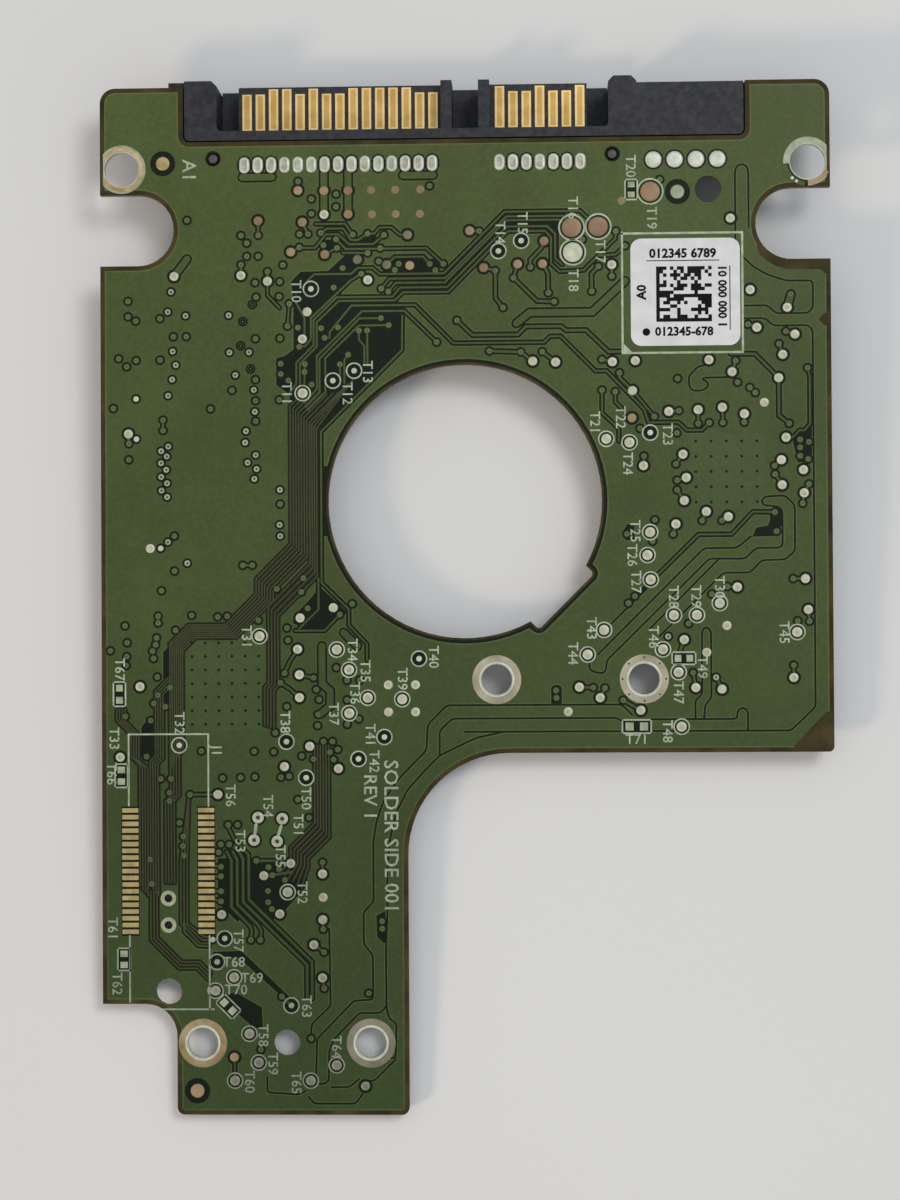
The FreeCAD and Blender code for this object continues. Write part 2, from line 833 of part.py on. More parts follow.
memory_centre = (left + size.memory_inset, down(size.memory_setback))
controller_centre = (left + size.controller_inset,
                     memory_centre[1] - (size.memory_length + size.controller_width) / 2 - size.controller_gap)
driver_centre = (right - size.driver_inset, down(size.driver_setback))
flash_centre = (tab_right - size.flash_inset, tab_end + size.flash_rise)


def make_packages():
    make_package("controller_chip", controller_centre, size.controller_width, size.controller_width,
                 size.controller_height, marked=True)
    make_leads("controller_leads", controller_centre, size.controller_width, size.controller_height,
               size.controller_pitch, size.controller_pins_a_side, size.fine_lead_width, 4)
    make_package("memory_chip", memory_centre, size.memory_width, size.memory_length, size.memory_height)
    make_leads("memory_leads", memory_centre, size.memory_width, size.memory_height, size.memory_pitch,
               size.memory_pins_a_side, size.wide_lead_width, 2)
    make_package("flash_chip", flash_centre, size.flash_width, size.flash_length, size.flash_height)
    make_leads("flash_leads", flash_centre, size.flash_width, size.flash_height, size.flash_pitch,
               size.flash_pins_a_side, size.wide_lead_width, 2)


def make_motor_driver():
    """A leadless package with flat lands along its four lower edges."""
    land = size.driver_land_thickness
    low = board_bottom - land - size.driver_height
    nodes["motor_driver_chip"] = block("motor_driver_chip", driver_centre, low, size.driver_width,
                                       size.driver_width, size.driver_height)
    lands = []
    reach = (size.driver_width - size.driver_land_length) / 2
    for turn in range(0, 360, 90):
        cosine = round(math.cos(math.radians(turn)))
        sine = round(math.sin(math.radians(turn)))
        for index in range(round(SIZES["driver_lands_a_side"])):
            along = size.driver_pitch * index - size.driver_pitch * (size.driver_lands_a_side - 1) / 2
            centre = (driver_centre[0] + reach * cosine - along * sine,
                      driver_centre[1] + reach * sine + along * cosine)
            lands.append(block("driver_land", centre, board_bottom - land, size.driver_land_length,
                               size.driver_land_width, land, turn))
    group("motor_driver_lands", lands)


def capped_part(centre, length, width, height, cap, turn):
    """A body with a metal cap over each end, on the underside of the board."""
    low = board_bottom - height
    cosine = round(math.cos(math.radians(turn)), 12)
    sine = round(math.sin(math.radians(turn)), 12)
    middle = block("part_body", centre, low, length - cap * 2, width, height, turn)
    caps = []
    for side in (1, -1):
        reach = (length - cap) * side / 2
        end = (centre[0] + reach * cosine, centre[1] + reach * sine)
        caps.append(block("part_cap", end, low, cap, width, height, turn))
    return middle, caps


def make_capped_parts(name, caps_name, places, length, width, height, cap):
    middles = []
    ends = []
    for centre, turn in places:
        middle, caps = capped_part(centre, length, width, height, cap, turn)
        middles.append(middle)
        ends.extend(caps)
    group(name, middles)
    group(caps_name, ends)


def row_of(centre, pitch, count, upright):
    """Points spread evenly along X, or along Y where upright, about a centre."""
    points = []
    for index in range(count):
        shift = pitch * (index - (count - 1) / 2)
        points.append((centre[0], centre[1] + shift) if upright else (centre[0] + shift, centre[1]))
    return points


def ceramic_places():
    places = []
    for side in (1, -1):
        reach = size.controller_width / 2 + size.lead_reach + size.ceramic_row_gap
        centre = (controller_centre[0], controller_centre[1] + reach * side)
        places += [(point, 90) for point in row_of(centre, size.ceramic_row_pitch, CONTROLLER_ROW, False)]
        reach = size.driver_width / 2 + size.ceramic_row_gap
        centre = (driver_centre[0] + reach * side, driver_centre[1])
        places += [(point, 0) for point in row_of(centre, size.ceramic_row_pitch, DRIVER_ROW, True)]
    return places


def resistor_places():
    reach = size.memory_width / 2 + size.lead_reach + size.resistor_row_gap
    beside_memory = (memory_centre[0] + reach, memory_centre[1])
    places = [(point, 0) for point in row_of(beside_memory, size.resistor_row_pitch, MEMORY_ROW, True)]
    reach = size.flash_length / 2 + size.resistor_row_gap
    above_flash = (flash_centre[0], flash_centre[1] + reach)
    places += [(point, 90) for point in row_of(above_flash, size.resistor_row_pitch, FLASH_ROW, False)]
    return places


def make_two_ended_parts():
    make_capped_parts("ceramic_capacitors", "ceramic_terminals", ceramic_places(), size.ceramic_length,
                      size.ceramic_width, size.ceramic_height, size.ceramic_cap)
    make_capped_parts("chip_resistors", "resistor_terminals", resistor_places(), size.resistor_length,
                      size.resistor_width, size.resistor_height, size.resistor_cap)
    tantalums = [((right - size.tantalum_inset, down(size.tantalum_setback + size.tantalum_pitch * row)), 0)
                 for row in range(2)]
    make_capped_parts("tantalum_capacitors", "tantalum_terminals", tantalums, size.tantalum_length,
                      size.tantalum_width, size.tantalum_height, size.tantalum_cap)
    across = size.driver_width / 2
    along = size.ceramic_row_pitch * (DRIVER_ROW - 1) / 2 + size.ceramic_width / 2
    past = along + size.inductor_gap + size.inductor_width / 2
    inductors = [((driver_centre[0] - across, driver_centre[1] + past), 90),
                 ((driver_centre[0] + across, driver_centre[1] - past), 0)]
    make_capped_parts("power_inductors", "inductor_terminals", inductors, size.inductor_width,
                      size.inductor_width, size.inductor_height, size.inductor_cap)
    diodes = [((-size.diode_offset - size.diode_pitch * column, down(size.diode_setback)), 90)
              for column in range(2)]
    make_capped_parts("surge_diodes", "surge_diode_terminals", diodes, size.diode_length, size.diode_width,
                      size.diode_height, size.diode_cap)
    sensors = [((right - size.right_sensor_inset, down(size.right_sensor_setback)), DIAGONAL),
               ((-size.left_sensor_offset, down(size.left_sensor_setback)), -DIAGONAL)]
    make_capped_parts("shock_sensors", "shock_sensor_terminals", sensors, size.sensor_length,
                      size.sensor_width, size.sensor_height, size.sensor_cap)


def make_crystal():
    """A shallow ceramic tray with a metal lid."""
    reach = (size.controller_width + size.crystal_length) / 2 + size.lead_reach + size.crystal_gap
    centre = (controller_centre[0] + reach, controller_centre[1] - size.crystal_drop)
    base_bottom = board_bottom - size.crystal_height
    nodes["crystal_base"] = block("crystal_base", centre, base_bottom, size.crystal_length,
                                  size.crystal_width, size.crystal_height)
    nodes["crystal_lid"] = block("crystal_lid", centre, base_bottom - size.crystal_lid_height,
                                 size.crystal_length - size.crystal_lid_margin * 2,
                                 size.crystal_width - size.crystal_lid_margin * 2, size.crystal_lid_height)


def make_transistors():
    """Three-legged parts: two leads on one long side and one on the other."""
    middles = []
    leads = []
    low = board_bottom - size.transistor_height
    for column in range(3):
        centre = (right - size.transistor_inset + size.transistor_pitch * column, down(size.transistor_setback))
        middles.append(block("transistor", centre, low, size.transistor_length, size.transistor_width,
                             size.transistor_height))
        reach = (size.transistor_width + size.transistor_lead_reach) / 2
        spread = size.transistor_lead_pitch / 2
        for shift_x, shift_y in ((spread, reach), (-spread, reach), (ZERO, -reach)):
            end = (centre[0] + shift_x, centre[1] + shift_y)
            leads.append(block("transistor_lead", end, board_bottom - size.lead_thickness,
                               size.transistor_lead_width, size.transistor_lead_reach, size.lead_thickness))
    group("transistors", middles)
    group("transistor_leads", leads)


def make_spring_pads():
    """Bare pads that the drive's head and motor springs press on."""
    low = board_bottom - size.pad_thickness
    heads = []
    for row in range(2):
        y = tab_end + size.head_pad_rise + size.head_pad_row_spacing * row
        middle = ((tab_left + tab_right) / 2, y)
        for point in row_of(middle, size.head_pad_pitch, SIZES["head_pad_count"], False):
            heads.append(block("head_pad", point, low, size.head_pad_width, size.head_pad_length,
                               size.pad_thickness))
    group("head_contact_pads", heads)
    motor = []
    diagonal = round(math.cos(math.radians(DIAGONAL)), 12)
    out = size.opening_notch_reach + size.motor_pad_gap + size.motor_pad_length / 2
    for index in range(SIZES["motor_pad_count"]):
        along = size.motor_pad_pitch * (index - (SIZES["motor_pad_count"] - 1) / 2)
        centre = (opening_centre[0] + (out + along) * diagonal, opening_centre[1] - (out - along) * diagonal)
        motor.append(block("motor_pad", centre, low, size.motor_pad_length, size.motor_pad_width,
                           size.pad_thickness, -DIAGONAL))
    group("motor_contact_pads", motor)


def check_and_write():
    doc.recompute()
    for item in doc.Objects:
        if "Invalid" in item.State or "Error" in item.State:
            raise RuntimeError(f"{item.Label} failed: {item.State}")
    for name, item in nodes.items():
        if item.Shape.isNull() or not item.Shape.isValid() or not item.Shape.Solids:
            raise RuntimeError(f"{name} has no valid solid")
    os.makedirs("parts", exist_ok=True)
    for name, item in nodes.items():
        item.Shape.exportStep(f"parts/{name}.step")
        print(name, len(item.Shape.Solids), "solids", round(item.Shape.Volume, 3), "mm3")


make_board()
make_housing()
make_contacts("power_contacts", power_xs, POWER_LONG)
make_contacts("signal_contacts", signal_xs, SIGNAL_LONG)
make_solder_joints("power_solder_joints", first_contact, size.power_count)
make_solder_joints("signal_solder_joints", first_signal, size.signal_count)
make_screw_rings("screw_hole_rings", ringed_screws, size.screw_radius)
trim_rings_at_edges(make_screw_rings("top_screw_rings", top_screws, size.top_screw_radius))
make_jumper_pads()
make_debug_pads()
make_label()
make_packages()
make_motor_driver()
make_two_ended_parts()
make_crystal()
make_transistors()
make_spring_pads()
check_and_write()
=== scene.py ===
"""Looks of a small hard drive's circuit board, lying solder side up on a pale table."""
import math
import random

import bmesh
import bpy
from mathutils import Matrix, Vector
from mathutils.geometry import delaunay_2d_cdt


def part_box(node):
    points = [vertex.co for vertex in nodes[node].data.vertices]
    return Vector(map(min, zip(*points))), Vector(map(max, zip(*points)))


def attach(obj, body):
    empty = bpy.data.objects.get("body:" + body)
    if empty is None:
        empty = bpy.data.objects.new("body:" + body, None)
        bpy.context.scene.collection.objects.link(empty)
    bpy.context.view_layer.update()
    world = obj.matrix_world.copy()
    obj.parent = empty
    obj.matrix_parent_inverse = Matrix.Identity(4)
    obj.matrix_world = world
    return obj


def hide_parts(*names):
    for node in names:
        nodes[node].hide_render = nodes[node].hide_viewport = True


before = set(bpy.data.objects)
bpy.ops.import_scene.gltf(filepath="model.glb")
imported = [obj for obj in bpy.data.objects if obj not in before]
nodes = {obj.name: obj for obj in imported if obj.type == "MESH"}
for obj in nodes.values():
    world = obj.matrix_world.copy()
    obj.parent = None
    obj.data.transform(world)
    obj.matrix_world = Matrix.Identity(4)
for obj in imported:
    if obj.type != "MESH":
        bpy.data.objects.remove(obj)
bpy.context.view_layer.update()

MM = 0.001
BODY = "root"
board_low, board_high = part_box("circuit_board")
PLUG_EDGE = board_high.y
FACE = board_high.z
BOARD_DEPTH = (board_high.z - board_low.z) / MM

# Sizes below are in millimetres, unless another unit is named

# Heights over the board's bare face
BARE_LEVEL = 0.004
GAP_LEVEL = 0.01
COPPER_LEVEL = 0.032
INK_LEVEL = 0.045
DOT_LEVEL = 0.06
SWOLLEN_LEVEL = DOT_LEVEL + 0.02
WEAR_LEVEL = 0.064
CREPT_LEVEL = 0.067
LARGE_INK_LEVEL = INK_LEVEL + 0.002
FAINT_LEVEL = COPPER_LEVEL + 0.008
HEAT_VIA_LEVEL = COPPER_LEVEL + 0.003
PROBE_FLOOR_LEVEL = COPPER_LEVEL + 0.004

# Widths of the copper artwork
HAIR = 0.13
NARROW = 0.18
MEDIUM = 0.24
BROAD = 0.64
CUT = 0.18
CUT_BEND = 0.3
# LIP is the width of the lighter band beside gaps: thin mask over the copper's edge, with a painted
# highlight
LIP = 0.09

# Gaps round pads and along edges
CLEARANCE = 0.18
DOT_CLEARANCE = 0.24
RINGED_GAP = 0.66
SIGHT_GAP = 1.2
LARGE_GAP = 1.14
HOLE_GAP = 0.75
DEBUG_GAP = 1.7
FOOTPRINT_INSET = 0.2
EDGE_MARGIN = 0.42
# RIM is the width of the lighter band inside the pour's edges: thin mask over the copper's edge, with a
# painted highlight
RIM = 0.14
BARE_RIM = 0.22
HOLE_MARGIN = 0.5

# Holes that cut the mask and openings with a bare rim, by least area in square metres
LEAST_HOLE = 4e-7
LEAST_OPENING = 1e-4

# Vias: radii of the rim, the eye and the pinhole, and how far the rim rises and the middle sinks
VIA_RADIUS = 0.3
VIA_SLOPE = 0.06
EYE_RADIUS = 0.2
PINHOLE_RADIUS = 0.12
VIA_BANDS = (0.19, 0.1)
VIA_SHOULDER = 0.01
VIA_SINK = 0.012
TENT_RISE = 0.006
TINNED_RISE = 0.01

# Radii of dots and pads, and how far their middles sink
HEAT_VIA_RADIUS = 0.21
DOT_RADIUS = 0.44
RINGED_RADIUS = 0.49
CORE_RADIUS = 0.26
SMALL_RADIUS = 0.28
SIGHT_RADIUS = 0.66
LARGE_RADIUS = 0.94
DOT_DIMPLE = 0.006
PAD_DIMPLE = 0.01

# Copper artwork, each place given as x and d

# Vias under the mask
VIAS = [
    (-26.16, 12.61), (-21.04, 14.11), (-20.49, 14.84), (-19.39, 14.11), (-20.49, 16.09), (-19.41, 16.09),
    (-21.04, 16.88), (-17.07, 16.94), (-18.54, 17.55), (-19.72, 18.59), (-17.38, 18.52), (-19.63, 19.96),
    (-17.44, 19.93), (-31.8, 20.23), (-15.59, 9.04), (-3.15, 9.62), (-14.34, 10.72), (-12.0, 10.29),
    (-12.02, 11.49), (-14.34, 12.12), (-15.48, 14.04), (-14.68, 14.04), (-13.46, 13.95), (-10.44, 14.13),
    (-9.04, 14.07), (-7.49, 14.2), (-12.02, 14.56), (-13.22, 15.11), (-11.94, 15.39), (-15.5, 15.29),
    (-7.85, 15.45), (-9.04, 15.9), (-8.0, 16.7), (-11.41, 17.3), (-6.48, 17.52), (-6.11, 16.96),
    (-3.18, 17.0), (-1.9, 17.0), (-2.66, 17.59), (-9.65, 17.85), (-12.27, 19.13), (-7.78, 19.28),
    (-7.11, 19.56), (-16.48, 20.61), (-31.8, 21.7), (-31.07, 22.11), (-28.77, 21.9), (-27.49, 23.63),
    (-26.27, 23.63), (-32.71, 25.67), (-31.04, 25.85), (-31.95, 26.43), (-28.77, 25.83), (-33.23, 30.37),
    (-31.78, 35.24), (-28.51, 31.52), (-28.51, 32.5), (-31.76, 33.72), (-19.7, 23.9), (-17.38, 23.88),
    (-21.95, 28.76), (-24.0, 30.49), (-19.72, 27.77), (-19.72, 29.76), (-19.72, 31.7), (-17.48, 29.7),
    (-15.68, 22.89), (-16.66, 22.74), (-13.49, 22.96), (-11.9, 22.89), (-13.15, 23.87), (-15.56, 24.7),
    (-7.82, 22.07), (-7.09, 22.74), (-9.91, 23.23), (-9.13, 23.23), (-10.93, 25.49), (-11.72, 26.4),
    (-15.04, 26.34), (-15.07, 27.07), (-17.33, 26.28), (-17.33, 27.26), (-16.6, 27.87), (-14.4, 28.29),
    (-2.57, 24.39), (-0.65, 22.35), (1.5, 13.95), (6.3, 17.4), (4.7, 18.4), (7.98, 19.85), (3.0, 17.7),
    (12.7, 17.4), (12.05, 19.75), (13.95, 18.35), (14.35, 14.1), (15.2, 15.5), (11.2, 14.85), (18.5, 9.3),
    (30.7, 20.2), (3.7, 21.2), (8.53, 20.68), (2.4, 25.28), (5.35, 25.4), (7.37, 25.4), (12.97, 26.17),
    (14.6, 27.45), (12.95, 29.07), (14.2, 29.22), (26.66, 23.0), (30.2, 23.7), (29.55, 24.87),
    (32.2, 27.15), (25.5, 26.4), (25.65, 28.45), (20.05, 28.05), (26.8, 28.95), (27.3, 29.43),
    (30.45, 32.35), (17.85, 31.6), (20.15, 31.07), (21.95, 32.3), (22.98, 32.22), (24.25, 32.22),
    (26.25, 32.2), (19.95, 33.15), (31.45, 33.87), (32.28, 34.1), (31.45, 34.6), (31.45, 35.4),
    (32.2, 35.7), (16.85, 35.3), (16.5, 32.7), (19.83, 36.07), (19.93, 37.6), (19.93, 38.5),
    (17.83, 41.3), (19.53, 42.65), (22.25, 41.4), (24.1, 41.4), (29.05, 36.3), (29.1, 37.1),
    (32.25, 38.05), (31.65, 39.85), (30.7, 46.9), (24.55, 47.6), (23.1, 48.3), (29.05, 40.65),
    (29.2, 42.45), (17.6, 43.3), (15.2, 42.6), (15.9, 48.45), (15.3, 49.1), (-27.48, 42.5),
    (-27.48, 45.8), (-28.72, 47.65), (-25.87, 50.0), (-22.5, 50.1), (-23.4, 50.15), (-29.05, 50.05),
    (-29.05, 50.7), (-32.2, 50.95), (-17.43, 39.55), (-21.0, 45.3), (-20.1, 45.3), (-17.8, 47.55),
    (-19.55, 50.5), (-15.28, 46.55), (-15.47, 47.85), (-14.88, 49.4), (-10.67, 49.0), (-11.85, 50.0),
    (-27.4, 51.4), (-32.0, 52.55), (-33.6, 53.3), (-32.05, 53.85), (-29.2, 52.1), (-29.3, 52.75),
    (-29.6, 53.35), (-29.5, 54.05), (-29.15, 55.8), (-25.0, 62.8), (-20.0, 62.85), (-18.15, 62.9),
    (-18.0, 61.1), (-17.5, 56.4), (-27.95, 56.8), (-29.1, 57.5), (-29.5, 58.3), (-28.4, 58.6),
    (-29.8, 59.9), (-32.2, 59.5), (-30.2, 63.3), (-32.1, 54.7), (-16.85, 51.25), (-16.75, 52.4),
    (-14.35, 55.95), (-14.1, 57.05), (-13.85, 58.0), (-16.9, 58.65), (-13.95, 59.4), (-14.0, 60.45),
    (-11.2, 58.05), (-12.2, 55.0), (-11.2, 56.2), (-10.0, 56.2), (-10.1, 59.85), (-11.2, 60.35),
    (-13.45, 61.95), (-12.6, 61.95), (-12.1, 62.7), (-12.85, 62.95), (-12.5, 63.65), (-15.5, 63.3),
    (-14.4, 63.6), (-17.1, 55.5), (8.47, 57.25), (8.5, 57.95), (11.95, 57.0), (13.05, 57.05),
    (14.75, 58.2), (20.9, 51.05), (31.1, 50.85), (32.2, 50.9), (21.3, 55.65), (30.7, 55.0),
    (-23.0, 65.35), (-21.3, 65.3), (-19.95, 65.25), (-17.5, 65.3), (-27.1, 69.55), (-26.75, 70.85),
    (-26.8, 71.75), (-26.7, 72.65), (-22.5, 69.75), (-21.6, 69.75), (-23.2, 71.6), (-22.4, 71.6),
    (-23.4, 72.35), (-23.2, 73.7), (-23.2, 74.6), (-23.2, 76.0), (-23.2, 76.95), (-19.85, 73.15),
    (-18.7, 73.75), (-17.7, 73.95), (-18.35, 74.5), (-18.75, 76.0), (-18.75, 77.05), (-18.4, 77.7),
    (-26.1, 66.9), (-28.85, 65.4), (-27.9, 65.4), (-28.05, 66.7), (-28.05, 67.5), (-29.9, 73.0),
    (-29.75, 75.3), (-16.7, 65.2), (-15.9, 67.4), (-14.85, 69.1), (-17.15, 74.95), (-13.6, 73.3),
    (-13.55, 79.6), (-13.5, 81.75), (-13.5, 85.15), (-9.3, 85.6), (-17.5, 85.9), (-14.75, 89.85),
    (-8.0, 78.85), (-8.0, 79.55), (-20.4, 80.6), (-19.5, 80.6), (-19.5, 90.87),
]

# Vias with a tinned rim
BRIGHT_VIAS = [
    (-27.71, 19.38), (-28.02, 21.28), (-26.33, 21.66), (-22.24, 21.66), (-27.57, 25.02), (-27.28, 26.32),
    (-27.63, 27.68), (-28.02, 29.21), (-22.18, 25.17), (-20.33, 25.17), (-21.63, 27.32), (-19.88, 28.74),
    (-19.8, 30.8), (-20.65, 32.63), (-20.72, 33.71), (-19.73, 34.9), (-20.5, 35.61), (-28.7, 34.45),
    (-28.02, 34.02), (-28.17, 34.96), (-28.72, 35.59), (-28.22, 36.22), (-28.71, 36.9), (-28.15, 37.5),
    (-28.68, 38.18), (-28.15, 38.8), (-19.65, 36.22), (-19.87, 37.15), (-28.1, 43.06), (-26.26, 45.07),
    (-17.45, 38.2), (-17.45, 42.57), (-17.5, 41.5), (19.0, 52.25), (23.45, 56.1),
]

# Vias left open, painted dark to the bottom as the shade in their holes
OPEN_VIAS = [(-19.98, 20.66), (-20.89, 22.26), (-20.18, 26.74), (-21.1, 24.54)]

# Tinned test dots in a gap of their own, and others that sit in the pour
TIN_DOTS = [
    (-21.06, 17.89), (-27.41, 17.91), (-18.54, 18.46), (-13.15, 12.2), (-9.04, 18.44), (-14.8, 21.4),
    (-15.26, 23.96), (-31.8, 32.8), (13.95, 17.25), (25.1, 13.0), (26.9, 19.75), (6.47, 26.27),
    (8.62, 26.38), (13.95, 26.4), (16.1, 26.32), (15.82, 29.13), (30.35, 21.45), (27.5, 23.3),
    (31.05, 23.98), (29.9, 25.87), (29.5, 28.05), (19.2, 31.12), (21.95, 30.98), (24.22, 30.77),
    (26.27, 31.4), (30.15, 33.65), (20.5, 35.15), (29.7, 35.75), (23.0, 26.3), (25.15, 27.45),
    (16.8, 36.2), (20.8, 37.35), (20.6, 39.5), (19.8, 41.7), (22.65, 40.55), (24.7, 41.05), (29.75, 38.1),
    (31.75, 36.7), (31.8, 38.87), (31.85, 46.9), (25.5, 47.65), (32.1, 49.8), (-15.6, 50.3),
    (-12.46, 49.35), (-30.8, 56.7), (-17.15, 64.3), (-15.85, 53.25), (-15.7, 55.65), (-15.7, 57.8),
    (-14.75, 62.4), (-12.05, 64.5), (10.65, 56.95), (12.6, 57.95), (16.4, 59.15), (20.5, 52.55),
    (21.55, 57.05), (24.0, 57.2), (30.7, 56.15), (-32.7, 63.35), (-23.45, 66.9), (-19.15, 74.55),
    (-23.15, 78.2), (-17.65, 78.15), (-16.6, 73.4), (-13.6, 74.4), (-13.6, 78.7), (-14.45, 81.05),
    (-13.65, 84.15), (-9.65, 94.3),
]
POUR_DOTS = [
    (28.15, 30.35), (-29.77, 43.65), (-7.3, 56.65), (-4.75, 56.65), (-7.3, 59.2), (-4.75, 59.2),
    (9.6, 59.25), (24.5, 51.25), (22.6, 53.75), (-13.55, 76.6),
]
SMALL_DOTS = [(-31.07, 29.49), (-31.04, 33.29), (-28.78, 43.65), (-24.0, 80.55)]

# Bare copper test dots, in a gap or in the pour
COPPER_DOTS = [
    (-19.41, 12.73), (-15.62, 9.9), (-13.15, 9.95), (-10.87, 9.95), (-10.87, 12.2), (-15.22, 12.91),
    (-16.33, 15.72), (-13.1, 15.99), (-5.07, 17.12), (0.6, 13.9), (7.6, 14.95), (5.1, 17.1), (7.45, 17.1),
    (1.9, 17.4), (15.75, 31.7), (-22.0, 91.6),
]
FAINT_DOTS = [
    (-8.7, 9.95), (-6.41, 9.95), (-4.04, 9.95), (-8.63, 12.24), (-6.38, 12.24), (-4.1, 12.24),
    (14.9, 11.25),
]

# Test dots gone dull
DULL_DOTS = [(-5.26, 14.22), (-7.24, 17.02), (-10.01, 16.5)]

# Test points in a ring of white ink: wide dots and narrow ones
RINGED_DOTS = [
    (-15.26, 29.09), (13.33, 33.65), (15.5, 34.0), (17.38, 42.45), (17.12, 44.6), (17.4, 46.9),
    (19.55, 50.25), (21.7, 50.25), (23.85, 49.15), (-19.45, 52.0), (-12.15, 53.3), (-11.0, 55.2),
    (-9.25, 57.85), (-11.0, 59.3), (-6.0, 58.0), (13.0, 51.6), (11.45, 53.9), (31.05, 51.9),
    (18.5, 53.45), (19.95, 55.6), (20.2, 60.7), (-16.9, 76.1), (-21.99, 84.1), (-23.75, 85.35),
    (-20.57, 89.4), (-19.7, 92.1), (-21.95, 93.8), (-12.35, 92.35), (-14.8, 93.8),
]
RINGED_POINTS = [
    (-14.43, 19.23), (3.3, 15.85), (5.45, 14.9), (-12.39, 27.93), (-10.38, 27.01), (17.45, 33.1),
    (-4.4, 54.2), (-7.7, 61.55), (-10.15, 63.6), (-16.95, 61.95), (-27.1, 62.25), (-15.1, 65.35),
    (-22.87, 80.45), (-23.6, 82.65), (-16.6, 86.75),
]

# Middles of the test points' running numbers, printed down the board or across it
DOWN_MARKS = [
    (-15.85, 19.45), (-16.8, 29.1), (-11.05, 29.15), (-9.13, 27.15), (3.45, 14.1), (5.55, 13.25),
    (10.3, 11.85), (12.85, 16.0), (10.3, 18.7), (17.7, 12.9), (15.75, 8.0), (12.25, 32.1), (14.65, 31.65),
    (19.05, 33.3), (15.3, 36.0), (15.95, 42.35), (15.65, 44.6), (16.0, 47.1), (19.5, 48.55), (21.6, 48.5),
    (23.8, 47.65), (-20.7, 52.05), (-27.1, 60.15), (-33.3, 61.6), (-10.7, 53.35), (-9.5, 55.35),
    (-10.5, 57.4), (-12.5, 59.35), (-17.1, 60.1), (-6.0, 56.1), (-3.05, 54.05), (-9.05, 61.35),
    (-8.7, 63.85), (11.8, 51.45), (10.05, 53.8), (29.8, 51.95), (17.6, 52.3), (19.9, 57.5),
    (18.85, 61.15), (22.15, 55.15), (-15.15, 67.3), (-15.9, 69.8), (-15.55, 76.15), (-21.4, 71.3),
    (-18.75, 68.0), (-17.6, 72.75), (-22.3, 67.0), (-21.6, 80.65), (-19.3, 89.55), (-18.4, 92.2),
    (-20.6, 93.9), (-33.5, 79.5), (-33.1, 84.7), (-15.2, 86.85), (-12.4, 90.65), (-16.2, 94.0),
    (-33.55, 64.9), (-32.75, 55.05),
]
ACROSS_MARKS = [(-22.0, 82.7), (-20.3, 84.2), (-21.8, 85.3), (16.0, 61.9)]

# Two-pad places for chip resistors: middle, length, width and turn in degrees
FOOTPRINTS = [
    (15.82, 10.2, 1.9, 1.15, 90), (-32.75, 57.4, 2.3, 1.15, 90), (-32.6, 65.1, 2.2, 1.2, 90),
    (-32.4, 82.4, 2.1, 1.2, 90), (16.0, 60.67, 2.7, 1.25, 0), (20.45, 54.3, 2.2, 1.15, 0),
    (-22.55, 86.85, 2.2, 1.2, -45),
]

